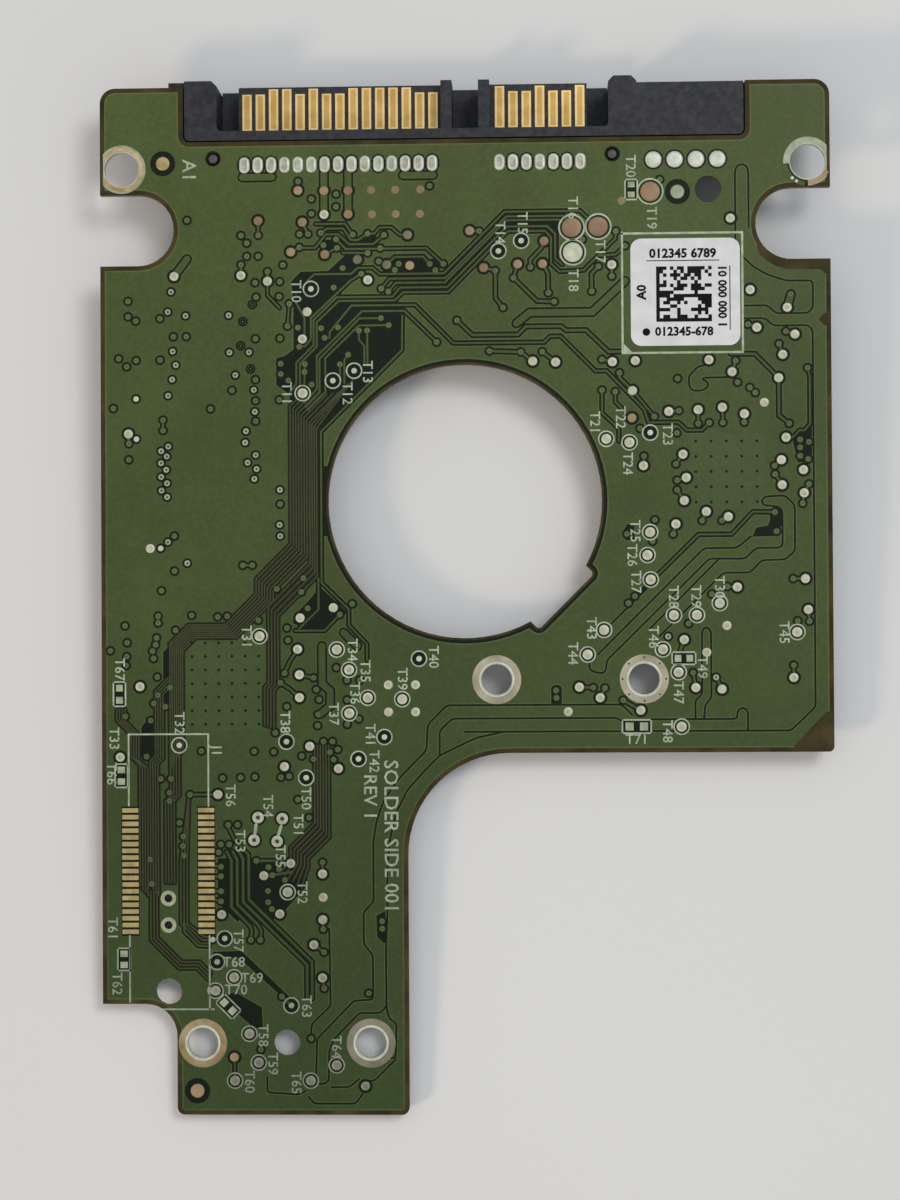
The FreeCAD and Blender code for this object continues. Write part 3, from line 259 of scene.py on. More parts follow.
# Tracks by width
TRACKS = {
    NARROW: [
        [(-13.98, 13.1), (-11.17, 13.1), (-10.44, 14.13)],
        [(-13.46, 13.95), (-12.9, 13.55), (-11.35, 13.55), (-10.6, 14.65), (-9.95, 14.65), (-9.04, 14.07),
         (-8.4, 14.07), (-7.9, 13.5), (-6.8, 13.5), (-6.0, 14.2), (-5.26, 14.22)],
        [(-16.33, 15.72), (-15.5, 15.35), (-14.0, 15.35), (-13.0, 14.1), (-11.8, 14.1), (-10.8, 15.05),
         (-8.5, 15.05), (-7.49, 14.2)],
        [(-12.02, 14.56), (-11.1, 15.5), (-3.5, 15.5), (-1.9, 17.0)], [(-11.94, 15.39), (-13.1, 15.99)],
        [(-11.4, 15.85), (-9.04, 15.9)], [(-7.24, 17.02), (-6.5, 16.3), (-3.8, 16.3), (-3.18, 17.0)],
        [(-14.8, 18.5), (-14.1, 17.85), (-10.6, 17.85), (-10.0, 17.3), (-8.6, 17.3), (-7.9, 17.9),
         (-1.85, 17.9), (3.9, 12.15), (11.0, 12.15), (12.0, 13.1)],
        [(-7.78, 19.28), (-7.0, 18.35), (-1.7, 18.35), (4.05, 12.6), (9.4, 12.6), (9.9, 13.0)],
        [(-7.11, 19.56), (-6.4, 18.75), (-1.75, 18.75), (4.05, 12.95), (9.0, 12.95), (9.5, 13.3)],
        [(-14.2, 24.55), (-14.2, 22.2), (-12.0, 20.05), (-6.7, 20.05), (-6.0, 19.2), (-1.55, 19.2),
         (4.1, 13.55), (7.9, 13.55), (8.65, 14.3), (8.65, 16.6), (9.3, 17.2)],
        [(-13.9, 24.7), (-13.9, 22.4), (-11.8, 20.4), (-6.5, 20.4), (-5.7, 19.65), (-1.45, 19.65),
         (4.2, 14.0), (7.7, 14.0), (8.25, 14.6), (8.25, 17.1), (9.05, 17.85), (11.3, 17.75), (14.3, 14.8),
         (14.35, 14.1)],
        [(12.9, 16.4), (14.3, 16.3), (15.2, 15.5)],
        [(-9.65, 17.85), (-10.7, 18.5), (-14.45, 22.0), (-14.45, 24.0), (-15.0, 24.65), (-15.56, 24.7)],
        [(-14.2, 24.55), (-15.85, 26.2), (-15.85, 28.2), (-16.45, 29.0)],
        [(-13.9, 24.7), (-15.5, 26.3), (-15.5, 28.3)], [(-15.85, 20.5), (-15.05, 22.0), (-15.05, 23.6)],
        [(-12.7, 23.9), (-12.65, 23.3), (-10.6, 20.85), (-4.6, 20.85), (-1.0, 24.5), (7.55, 24.5),
         (8.1, 23.95), (9.1, 23.95), (12.35, 27.25), (13.4, 27.25), (16.9, 30.9), (17.3, 32.15),
         (20.1, 32.15), (20.9, 32.9), (22.3, 32.9), (22.98, 32.22)],
        [(-9.91, 23.23), (-9.9, 24.1), (-9.4, 24.7), (-9.4, 26.4)], [(-9.13, 23.23), (-9.1, 26.4)],
        [(-11.3, 28.2), (-11.3, 26.0), (-10.93, 25.49)], [(-11.72, 26.4), (-11.7, 28.3)],
        [(-15.04, 26.34), (-15.1, 28.3)], [(-16.48, 20.61), (-16.66, 22.74)],
        [(-18.54, 18.46), (-18.54, 19.8), (-17.4, 21.0)],
        [(-2.57, 24.39), (-5.6, 21.4), (-9.6, 21.4), (-13.9, 25.6), (-13.9, 28.7), (-15.1, 30.0)],
        [(-7.82, 22.07), (-9.85, 22.07), (-13.65, 25.85), (-13.65, 29.0), (-15.0, 30.4)],
        [(-7.09, 22.74), (-9.9, 22.74), (-13.1, 25.8), (-13.1, 29.0), (-14.8, 30.7)],
        [(-5.8, 21.83), (-5.85, 25.1), (-13.55, 32.75), (-13.55, 47.0), (-11.0, 49.5), (-11.0, 51.0),
         (-9.3, 52.8), (-9.3, 54.3)],
        [(-13.85, 46.6), (-13.85, 49.5), (-15.7, 51.3)], [(-16.1, 51.5), (-13.3, 51.5), (-11.85, 50.0)],
        [(12.95, 29.07), (12.95, 31.2), (14.5, 32.7), (14.5, 33.9)],
        [(14.2, 29.22), (14.2, 30.2), (14.8, 30.8)], [(15.82, 29.13), (17.85, 31.6)],
        [(17.9, 46.6), (21.9, 42.7), (25.0, 42.7), (27.0, 40.6), (29.05, 40.65)],
        [(32.2, 27.15), (32.4, 28.0), (32.4, 32.4), (31.9, 33.0), (31.4, 33.0), (30.7, 33.7),
         (30.15, 33.65)],
        [(-22.0, 91.6), (-21.95, 93.8)], [(-26.7, 78.9), (-26.7, 79.8), (-25.4, 81.1), (-24.3, 81.2)],
    ],
    MEDIUM: [
        [(-22.65, 72.25), (-22.21, 73.11), (-22.21, 77.51), (-20.43, 79.32), (-20.3, 79.75), (-20.4, 80.6)],
        [(-22.09, 72.25), (-21.66, 73.06), (-21.66, 77.25), (-19.74, 79.14), (-19.4, 79.75),
         (-19.5, 80.6)],
        [(-21.57, 72.17), (-21.11, 72.94), (-21.11, 77.03), (-15.1, 82.95), (-15.1, 86.1)],
        [(-22.48, 70.01), (-21.92, 71.13), (-20.57, 72.6), (-20.57, 76.78), (-14.63, 82.65),
         (-14.63, 86.1)],
        [(-19.41, 12.73), (-19.39, 14.11)], [(-21.04, 16.88), (-21.06, 17.89)],
        [(-18.54, 17.55), (-18.54, 18.46)], [(-15.22, 12.91), (-14.68, 14.04)],
        [(0.6, 13.9), (1.5, 13.95)], [(7.6, 14.95), (7.35, 15.6), (6.3, 16.7), (6.3, 17.4)],
        [(5.1, 17.1), (4.7, 18.4), (6.9, 20.6), (8.53, 20.68)],
        [(7.45, 17.1), (7.95, 18.0), (7.98, 19.85)], [(1.9, 17.4), (3.0, 17.7), (3.0, 20.3), (3.7, 21.2)],
        [(12.7, 17.4), (12.05, 18.1), (12.05, 19.75)], [(13.95, 17.25), (13.95, 18.35)],
        [(-0.65, 22.35), (0.8, 23.75), (5.1, 23.75), (5.85, 23.0), (9.15, 23.0), (9.65, 23.4),
         (11.5, 23.4), (13.6, 25.45), (15.3, 25.45)],
        [(2.4, 25.28), (5.35, 25.4), (6.47, 26.27)], [(7.37, 25.4), (8.62, 26.38)],
        [(12.97, 26.17), (13.95, 26.4)], [(14.6, 27.45), (14.6, 27.9), (15.82, 29.13)],
        [(26.66, 23.0), (27.5, 23.3)], [(30.2, 23.7), (31.05, 23.98)], [(29.55, 24.87), (29.9, 25.87)],
        [(25.5, 26.4), (25.15, 27.45)],
        [(25.0, 25.75), (27.3, 25.8), (29.5, 28.05), (29.5, 31.6), (30.45, 32.35)],
        [(21.95, 30.98), (21.95, 32.3)], [(24.22, 30.77), (24.25, 32.22)], [(26.27, 31.4), (26.25, 32.2)],
        [(19.2, 31.12), (20.15, 31.07)], [(16.85, 35.3), (16.8, 36.2)], [(20.5, 35.15), (19.83, 36.07)],
        [(20.8, 37.35), (19.93, 37.6)], [(19.93, 38.5), (20.6, 39.5)], [(19.8, 41.7), (19.53, 42.65)],
        [(22.65, 40.55), (22.25, 41.4)], [(24.7, 41.05), (24.1, 41.4)], [(29.7, 35.75), (29.05, 36.3)],
        [(29.1, 37.1), (29.75, 38.1)], [(32.25, 38.05), (31.8, 38.87), (31.65, 39.85)],
        [(30.7, 46.9), (31.85, 46.9)], [(24.55, 47.6), (25.5, 47.65)], [(-21.0, 45.3), (-20.1, 45.3)],
        [(-28.51, 31.52), (-28.51, 32.5)], [(-31.8, 32.8), (-31.76, 33.72)],
        [(-15.85, 53.25), (-16.6, 54.4), (-17.1, 55.5)], [(-15.7, 55.65), (-14.35, 55.95)],
        [(-15.7, 57.8), (-16.6, 57.0), (-17.5, 56.4)], [(10.65, 56.95), (11.95, 57.0)],
        [(13.05, 57.05), (12.6, 57.95)], [(14.75, 58.2), (16.4, 59.15)], [(21.3, 55.65), (21.55, 57.05)],
        [(23.45, 56.1), (24.0, 57.2)], [(30.7, 55.0), (30.7, 56.15)], [(32.1, 49.8), (32.2, 50.9)],
        [(20.5, 52.55), (20.1, 53.6)], [(-26.1, 66.9), (-23.45, 66.9)], [(-13.6, 73.3), (-13.6, 74.4)],
        [(-13.6, 78.7), (-13.55, 79.6)], [(-14.45, 81.05), (-13.5, 81.75)],
        [(-13.65, 84.15), (-13.5, 85.15)], [(-17.5, 85.9), (-16.6, 86.75)],
        [(-19.85, 73.15), (-17.9, 73.15)], [(-19.15, 74.55), (-18.35, 74.5), (-16.4, 74.2)],
        [(-24.6, 76.0), (-23.2, 76.0)], [(-24.6, 73.5), (-23.2, 73.7)], [(-24.6, 74.7), (-23.2, 74.6)],
        [(-24.6, 76.6), (-23.2, 76.95)], [(-29.05, 50.05), (-29.05, 50.7)],
    ],
    BROAD: [
        [(4.95, 22.7), (6.2, 21.7), (12.1, 21.7), (15.2, 18.8)], [(30.7, 20.2), (30.35, 21.45)],
        [(-27.41, 17.91), (-26.16, 16.27)],
        [(-13.55, 52.95), (-13.55, 56.5), (-12.8, 57.2), (-12.8, 58.6), (-13.8, 59.4)],
        [(-11.5, 51.7), (-10.2, 53.0)], [(-20.9, 8.6), (-18.05, 8.6)], [(-5.7, 8.6), (-2.8, 8.6)],
        [(-13.15, 8.2), (-13.15, 12.2)], [(-10.87, 8.2), (-10.87, 12.2)],
    ],
}

# Thin cuts that part one copper area from another
CUTS = [
    [(26.8, 13.9), (26.8, 8.55), (26.62, 8.1), (26.17, 7.9), (25.73, 8.1), (25.55, 8.55), (25.55, 15.2),
     (26.1, 16.5), (27.2, 17.6), (28.6, 18.4), (30.3, 18.95), (32.6, 18.95), (32.75, 19.2), (32.75, 21.5),
     (32.3, 22.0), (29.3, 22.0), (28.5, 21.25), (26.1, 21.25)],
    [(26.1, 22.45), (28.3, 22.45), (29.0, 23.15), (32.3, 23.15), (32.7, 23.6), (32.7, 58.9), (30.4, 61.1),
     (-0.2, 61.1)],
    [(23.0, 26.75), (22.0, 26.9), (21.1, 27.8), (21.1, 28.7), (21.4, 29.2), (22.3, 29.2), (22.9, 28.9),
     (22.9, 28.4), (22.4, 28.2), (22.4, 28.0), (24.8, 27.95)],
    [(12.4, 53.9), (22.4, 44.0), (25.5, 43.97), (26.8, 42.9)],
    [(11.6, 54.7), (11.6, 55.3), (12.2, 55.6), (13.0, 55.65), (13.2, 55.2), (13.2, 54.5), (22.9, 44.97),
     (26.2, 45.0), (27.3, 44.0), (29.5, 44.0), (29.75, 43.7), (29.75, 40.4), (29.2, 40.1), (28.0, 40.0),
     (27.8, 39.6), (28.1, 39.2), (30.0, 39.1), (30.9, 40.0), (30.9, 44.3), (30.0, 45.1), (27.8, 45.15),
     (26.7, 46.3), (24.2, 46.3), (18.2, 52.2)],
    [(13.7, 51.0), (18.0, 46.8)], [(17.3, 51.5), (23.8, 45.0)],
    [(-9.0, 91.5), (-6.8, 91.7), (-6.7, 88.4), (-7.4, 88.0), (-7.65, 86.8), (-7.65, 81.2), (-7.5, 78.0),
     (-7.5, 74.0), (-7.2, 71.0), (-6.6, 68.6), (-5.6, 66.6), (-4.0, 64.8), (-2.5, 63.3), (-0.2, 62.2),
     (1.0, 61.65), (3.6, 61.1)],
    [(15.6, 59.6), (14.6, 58.6), (-1.8, 58.6), (-3.6, 60.4), (-3.75, 62.8), (-6.3, 65.4), (-7.8, 67.5),
     (-8.5, 69.5), (-8.8, 71.5), (-8.8, 77.0), (-9.75, 78.0), (-9.75, 81.0), (-8.9, 82.0), (-8.9, 86.2),
     (-10.7, 86.3), (-14.2, 89.9), (-14.3, 93.4)],
    [(14.6, 60.2), (14.2, 59.85), (-1.3, 59.85), (-2.5, 61.0), (-2.5, 63.3)],
    [(17.4, 60.0), (25.4, 60.0), (25.4, 59.4), (25.55, 59.1), (25.9, 58.95), (26.25, 59.1), (26.4, 59.4),
     (26.4, 61.1)],
    [(22.3, 60.0), (22.4, 58.7), (23.0, 58.0), (23.0, 51.9), (22.87, 51.55), (22.57, 51.4),
     (22.28, 51.55), (22.15, 51.9), (22.15, 57.7), (21.5, 58.2), (21.5, 60.0)],
    [(-7.65, 86.8), (-8.2, 87.45), (-10.2, 87.45), (-12.6, 89.9), (-13.05, 91.0), (-13.1, 93.8),
     (-13.5, 94.1), (-14.2, 94.1)],
    [(-13.0, 79.5), (-12.9, 86.8), (-14.7, 88.5), (-14.75, 89.5)],
    [(-6.8, 91.8), (-8.8, 93.8), (-9.4, 93.8)], [(-12.9, 94.4), (-11.2, 94.4), (-10.2, 93.6)],
    [(-18.9, 93.4), (-18.9, 94.9), (-15.9, 95.1), (-15.2, 94.7)],
    [(-15.0, 95.3), (-14.5, 95.95), (-10.6, 95.95), (-9.9, 95.0)],
]

# Ground with no copper under its mask
VOIDS = [
    [(-23.5, 72.9), (-22.5, 72.9), (-22.5, 77.5), (-21.4, 78.6), (-21.6, 78.9), (-22.9, 77.7),
     (-23.5, 77.0)],
    [(-16.3, 18.5), (-15.4, 17.6), (-12.8, 17.55), (-11.2, 16.1), (-9.7, 16.1), (-9.6, 17.5),
     (-10.6, 18.4), (-11.6, 19.8), (-6.6, 19.8), (-6.1, 20.6), (-5.75, 21.6), (-5.95, 25.0),
     (-13.4, 32.5), (-16.5, 31.0), (-16.5, 29.2), (-17.75, 28.3), (-17.75, 25.75), (-16.9, 25.55),
     (-16.1, 24.9), (-16.1, 20.5)],
    [(-13.3, 14.6), (-11.6, 14.6), (-11.6, 15.5), (-13.3, 15.5)],
    [(-10.0, 14.3), (-8.2, 14.3), (-8.2, 14.9), (-10.0, 14.9)],
    [(-6.9, 16.5), (-2.3, 16.5), (-2.3, 17.7), (-6.9, 17.7)],
    [(3.8, 13.05), (9.0, 13.05), (9.0, 16.9), (8.75, 16.9), (8.75, 14.2), (8.0, 13.45), (3.8, 13.45)],
    [(15.9, 29.8), (16.2, 29.7), (17.8, 31.5), (17.3, 31.9), (16.8, 31.0)],
    [(30.75, 33.9), (31.4, 33.2), (32.3, 32.6), (32.55, 32.6), (32.55, 36.0), (31.2, 36.0)],
    [(28.5, 40.7), (29.2, 40.2), (29.7, 40.5), (29.7, 41.9), (29.0, 42.9), (26.9, 42.95), (27.3, 42.1),
     (28.4, 41.9), (28.6, 41.3)],
    [(14.7, 42.6), (15.2, 41.7), (15.9, 41.7), (15.9, 43.2), (15.1, 43.2)],
    [(14.9, 49.1), (16.8, 47.4), (17.1, 47.7), (15.4, 49.5)],
    [(-13.7, 47.4), (-11.1, 49.8), (-11.9, 50.3), (-13.2, 51.3), (-15.1, 51.3), (-16.3, 50.8),
     (-16.2, 50.1), (-15.0, 48.9)],
    [(-30.7, 60.6), (-30.3, 60.0), (-29.5, 60.0), (-29.5, 63.3), (-30.05, 63.9), (-30.7, 63.3)],
    [(-28.6, 53.45), (-28.05, 52.9), (-27.85, 52.9), (-27.85, 55.75), (-28.6, 56.0)],
    [(-28.6, 57.2), (-28.2, 56.8), (-27.85, 56.6), (-27.85, 59.0), (-28.6, 59.0)],
    [(-20.3, 73.4), (-18.2, 73.4), (-16.4, 74.7), (-15.0, 74.7), (-15.0, 75.4), (-17.3, 78.0),
     (-18.3, 78.7), (-20.3, 76.8)],
    [(-24.0, 81.7), (-21.3, 81.6), (-16.8, 85.9), (-17.2, 86.2), (-21.5, 82.3), (-23.9, 82.2)],
    [(-23.1, 85.7), (-21.9, 85.5), (-19.4, 86.9), (-19.3, 88.8), (-20.1, 88.9), (-22.3, 87.0)],
    [(-8.55, 78.3), (-7.7, 77.9), (-7.6, 80.9), (-7.9, 80.9), (-8.5, 80.3)],
    [(8.0, 57.0), (8.25, 56.75), (8.75, 56.75), (9.0, 57.0), (9.0, 58.5), (8.0, 58.5)],
    [(-13.45, 36.0), (-12.0, 36.0), (-12.0, 42.6), (-13.45, 42.6)],
]

# Laminate that the copper stops short of
BARE_PATCHES = [
    [(30.7, 62.5), (33.75, 59.35), (34.5, 59.35), (34.5, 63.2), (30.7, 63.2)],
    [(33.25, 22.6), (33.9, 22.0), (34.5, 22.0), (34.5, 23.2), (33.9, 23.2)],
    [(27.5, 15.6), (27.85, 16.5), (28.55, 17.1), (29.35, 17.55), (30.35, 17.87), (33.3, 17.88),
     (33.65, 18.0), (33.9, 18.3), (34.5, 18.3), (34.5, 16.8), (30.4, 16.7), (28.9, 16.1)],
]

# Bundles of tracks: how many, and each corner with the step from one track to the next
BUNDLES = [
    (7, [((-15.75, 29.6), (0.56, -0.08)), ((-16.45, 30.3), (0.26, 0.22)), ((-16.45, 43.3), (0.26, 0.2)),
         ((-19.75, 46.6), (0.27, 0.19)), ((-19.75, 48.0), (0.27, 0.1)), ((-22.65, 50.9), (0.17, 0.2)),
         ((-26.2, 50.9), (0.12, 0.2)), ((-27.95, 52.65), (0.2, 0.12)), ((-27.95, 64.6), (0.2, -0.3))]),
    (4, [((-28.05, 55.85), (0.0, 0.34)), ((-29.35, 57.15), (0.24, 0.1)), ((-29.35, 63.2), (0.24, 0.1)),
         ((-29.85, 63.7), (0.24, 0.1)), ((-29.85, 75.5), (0.25, 0.3))]),
    (4, [((-33.0, 58.8), (0.26, 0.0)), ((-33.0, 59.9), (0.26, 0.0)), ((-31.65, 61.25), (0.24, 0.0)),
         ((-31.65, 63.3), (0.24, 0.12)), ((-30.85, 64.1), (0.25, 0.1)), ((-30.85, 75.5), (0.25, 0.3))]),
    (4, [((-11.8, 29.0), (0.45, -0.4)), ((-14.63, 31.85), (0.22, 0.2)), ((-14.63, 45.2), (0.22, 0.4)),
         ((-18.6, 49.2), (0.3, 0.3)), ((-18.6, 56.4), (0.3, 0.1)), ((-19.0, 56.8), (0.3, 0.1)),
         ((-19.0, 60.4), (0.3, 0.1))]),
    (6, [((-14.3, 62.3), (0.27, 0)), ((-14.3, 69.6), (0.27, 0.27)), ((-16.6, 71.9), (0.33, 0.21)),
         ((-16.6, 73.2), (0.33, 0.1)), ((-17.6, 74.2), (0.4, 0.3))]),
    (3, [((-29.85, 76.0), (0.3, 0)), ((-29.85, 80.6), (0.3, -0.12)), ((-27.2, 83.25), (0.12, -0.3)),
         ((-25.5, 83.25), (0.12, -0.3)), ((-24.4, 84.35), (0.1, -0.3))]),
    (4, [((-27.1, 63.0), (-0.27, 0)), ((-27.1, 67.0), (-0.27, 0)), ((-27.6, 67.5), (-0.27, 0)),
         ((-27.6, 75.2), (-0.27, 0))]),
    (3, [((-26.2, 66.9), (0.0, 0.3)), ((-27.0, 73.2), (0.3, 0.2)), ((-27.0, 79.0), (0.3, 0.0)),
         ((-25.2, 80.9), (0.2, -0.3)), ((-24.4, 80.9), (0, -0.3))]),
]

# Grids of small vias under the two chips that run warm: first place, step, and count each way
VIA_GRIDS = [(-25.85, 52.6, 1.26, 1.28, 6, 7), (21.7, 33.95, 1.43, 1.43, 5, 5)]

# Sighting dots and large test pads
SIGHT_DOTS = [(-28.45, 7.2), (20.15, 10.45), (-25.5, 94.75)]
LARGE_COPPER_PADS = [(17.6, 10.4), (12.7, 13.65), (10.2, 13.7)]
LARGE_TIN_PADS = [(10.3, 16.05)]

# Holes with a tinned rim: outer and inner radius of the rim, and radius of the floor, a dark dome of painted
# shade in the hole
PROBE_HOLES = [(-19.67, 69.08), (-17.38, 69.2), (-20.05, 71.2), (-17.87, 71.33)]
PROBE_RIM = (0.55, 0.2)
PROBE_FLOOR = 0.22
LEAD_HOLES = [(-28.18, 76.67), (-28.18, 79.18)]
LEAD_RIM = (0.74, 0.38)

# Screw holes, with the walls of their plated barrels and the bright lips of the lower ones
TOP_HOLES = [(-32.37, 7.73), (32.37, 7.73)]
TOP_RADIUS = 1.73
LOW_HOLES = [(2.9, 56.2), (16.74, 56.22), (-24.97, 90.27), (-9.1, 90.27)]
LOW_RADIUS = 1.5
BARREL_WALL = 0.06
BARREL_RISE = 0.05
LIP_INNER = LOW_RADIUS + 0.01
LIP_OUTER = LOW_RADIUS + 0.17
LIP_RISE = 0.07
UNDER_RING_RADIUS = 2.3

# Wear of the screw rings: hole, inner and outer radius, and the turns from and to in degrees
RING_STAINS = [(TOP_HOLES[0], TOP_RADIUS + 0.06, 2.1, -150, 140), (LOW_HOLES[2], LIP_OUTER, 2.26, 0, 359)]
LOST_TIN = [(TOP_HOLES[1], TOP_RADIUS + 0.05, 2.33, 186, 270)]
CREPT_MASK = [(TOP_HOLES[1], TOP_RADIUS + 0.2, 2.36, 188, 262)]
WORN_CORNER = [(TOP_HOLES[1], TOP_RADIUS + 0.05, 2.2, 270, 333)]

# Dark studs on a ring, painted shade standing for small holes, and stray beads of solder, with their radius
# and height
STUD_HOLE = LOW_HOLES[1]
STUD_COUNT = 8
STUD_CIRCLE = 2.04
STUD_SIZE = (0.15, 0.066)
SOLDER_BEADS = [(30.9, 9.3), (31.3, 9.6)]
BEAD_SIZE = (0.17, 0.15)

# Rounded ends of the plug's pegs, painted lighter than the plug as a highlight: radius and height, and how
# far they lie under the face
PEGS = [(-23.66, 6.8), (14.06, 6.8)]
PEG_SIZE = (0.42, 0.1)
PEG_DROP = 0.08

# Contacts: reach to each side of the middle, and how far down the open face and its rear end lie
CONTACT_REACH = 0.5
CONTACT_FRONT = 1.0
CONTACT_REAR = 3.7

# Darker stripe of a contact: its width, how much shorter than the face it is, and its depth and height
STRIPE_WIDTH = 0.5
STRIPE_SHORT = 0.3
STRIPE_SINK = 0.01
STRIPE_RISE = 0.008

# White ink: lines by width, filled shapes, and outer and inner radius of rings
INK_LINES = [
    (0.2, [(14.92, 14.35), (26.18, 14.35), (26.18, 25.6), (14.92, 25.6), (14.92, 14.25)]),
    (0.16, [(-31.9, 67.9), (-31.9, 61.2), (-24.35, 61.2), (-24.35, 68.0)]),
    (0.16, [(-31.85, 80.2), (-31.85, 86.4)]),
    (0.16, [(-24.3, 80.2), (-24.3, 87.1)]),
    (0.16, [(-28.7, 87.1), (-23.9, 87.1)]),
    (0.28, [(-19.85, 69.75), (-19.97, 70.6)]),
    (0.28, [(-17.5, 69.9), (-17.75, 70.75)]),
]
INK_PATCHES = [[(15.0, 25.5), (15.0, 24.7), (15.8, 25.5)]]
INK_BOX_LINE = 0.14
INK_RING = (0.79, 0.65)
LARGE_INK_RING = (1.27, 1.1)

# Printed words: text, x, d, letter height and turn in degrees
MARK_HEIGHT = 0.92
FIRST_MARK = 10
DOWN_TURN = -90
BOARD_WORDS = [
    ("A1", -26.0, 7.9, 1.25, DOWN_TURN), ("J1", -23.6, 62.8, 0.95, DOWN_TURN),
    ("REV 1", -9.1, 67.2, 1.2, DOWN_TURN), ("SOLDER SIDE 001", -7.15, 70.9, 1.3, DOWN_TURN),
]
LABEL_WORDS = [
    ("012345 6789", 20.6, 16.3, 0.82, 0), ("012345-678", 20.7, 23.65, 0.78, 0),
    ("A0", 16.75, 19.9, 0.82, 90), ("1 000 000 01", 24.35, 20.35, 0.76, 90),
]

# Label: rules, a dot, and a made-up square pattern with a solid left and lower side
LABEL_RULES = [[(17.25, 16.95), (24.0, 16.95)], [(25.0, 17.5), (25.0, 23.5)]]
LABEL_RULE = 0.09
LABEL_DOT = (17.15, 23.65)
LABEL_DOT_RADIUS = 0.36
CODE_CORNER = (18.1, 17.5)
CODE_CELLS = 16
CODE_CELL = 0.325
CODE_OVERLAP = 1.02
CODE_SHARE = 0.46
CODE_SEED = 7

# Solder joints of the plug's tails: first place, count, and which of them stand apart from the pour
JOINT_PITCH = 1.27
JOINT_DROP = 7.46
JOINT_SIZE = (1.02, 1.55)
JOINT_RISE = 0.19
JOINT_DIMPLE = 0.05
JOINT_CORE = 0.24
POWER_JOINTS = (-20.68, 15, (0, 1, 2, 6, 7, 8, 10, 12, 13, 14))
SIGNAL_JOINTS = (3.455, 7, (1, 2, 4, 5))
JUMPER_PADS = [(17.92, 7.4), (19.92, 7.4), (21.92, 7.4), (23.92, 7.4)]
JUMPER_RADIUS = 0.78
JUMPER_RISE = 0.14
DEBUG_COLUMNS = (-31.77, -24.58)
DEBUG_SPAN = (68.0, 80.2)

# Chips of the component side with a printed outline, how much larger it is, and its corner dot
OUTLINED_CHIPS = ("controller_leads", "memory_leads", "flash_leads", "motor_driver_lands", "crystal_base")
OUTLINE_ROOM = 0.8
CORNER_DOT = (0.5, -0.5)
CORNER_DOT_RADIUS = 0.25


def spot(x, d):
    """Point of the board x mm right of its middle line and d mm down from the plug edge."""
    return Vector((x * MM, PLUG_EDGE - d * MM))


def path_of(places):
    """Points of the board at a list of places."""
    return [spot(*place) for place in places]


# Finishes

# Gloss, as the least and the most roughness
MATT = (0.6, 0.75)
DULL = (0.5, 0.65)
SATIN = (0.45, 0.6)
WORN = (0.4, 0.6)
SMOOTH = (0.35, 0.5)
MASK_GLOSS = (0.38, 0.5)

# Specular levels
PLAIN_SHEEN = 0.5
MASK_SHEEN = 0.2

# Noise in cycles per metre, how much of it a tone drifts over, and relief in metres
DRIFT_SCALE = 260.0
DRIFT = (0.3, 0.7)
GRAIN_SCALE = 4000.0
GRAIN_DEPTH = 4e-6
CLOUD_SCALE = 90.0
CLOUD_TONES = (0.86, 1.1)
SPECK_SCALE = 2600.0
SPECK_TONES = (0.9, 1.06)
SPECK_DRIFT = (0.35, 0.65)
PEEL_SCALE = 1500.0
PEEL_DEPTH = 6e-6
LAYER_SCALE = 900.0
LAYER_STRETCH = (0.25, 0.25, 6)
GREEN_SCALE = 120.0
FINE_DETAIL = 2.0
PLAIN_DETAIL = 3.0
CLOUD_DETAIL = 4.0

# How far up from the tab a finish may be faded, in metres
FADE_REACH = 40 * MM

# The screen's tone curve: its white, its straight start, and the offset and power of the rest
SCREEN_WHITE = 255
CURVE_START = 0.04045
CURVE_SLOPE = 12.92
CURVE_OFFSET = 0.055
CURVE_POWER = 2.4


def linear(red, green, blue):
    """Shader colour of a colour given in screen values from 0 to 255."""
    channels = []
    for value in (red, green, blue):
        share = value / SCREEN_WHITE
        curved = ((share + CURVE_OFFSET) / (1 + CURVE_OFFSET)) ** CURVE_POWER
        channels.append(share / CURVE_SLOPE if share <= CURVE_START else curved)
    return (*channels, 1.0)


def grey(level):
    """Shader colour with no hue."""
    return (level, level, level, 1.0)


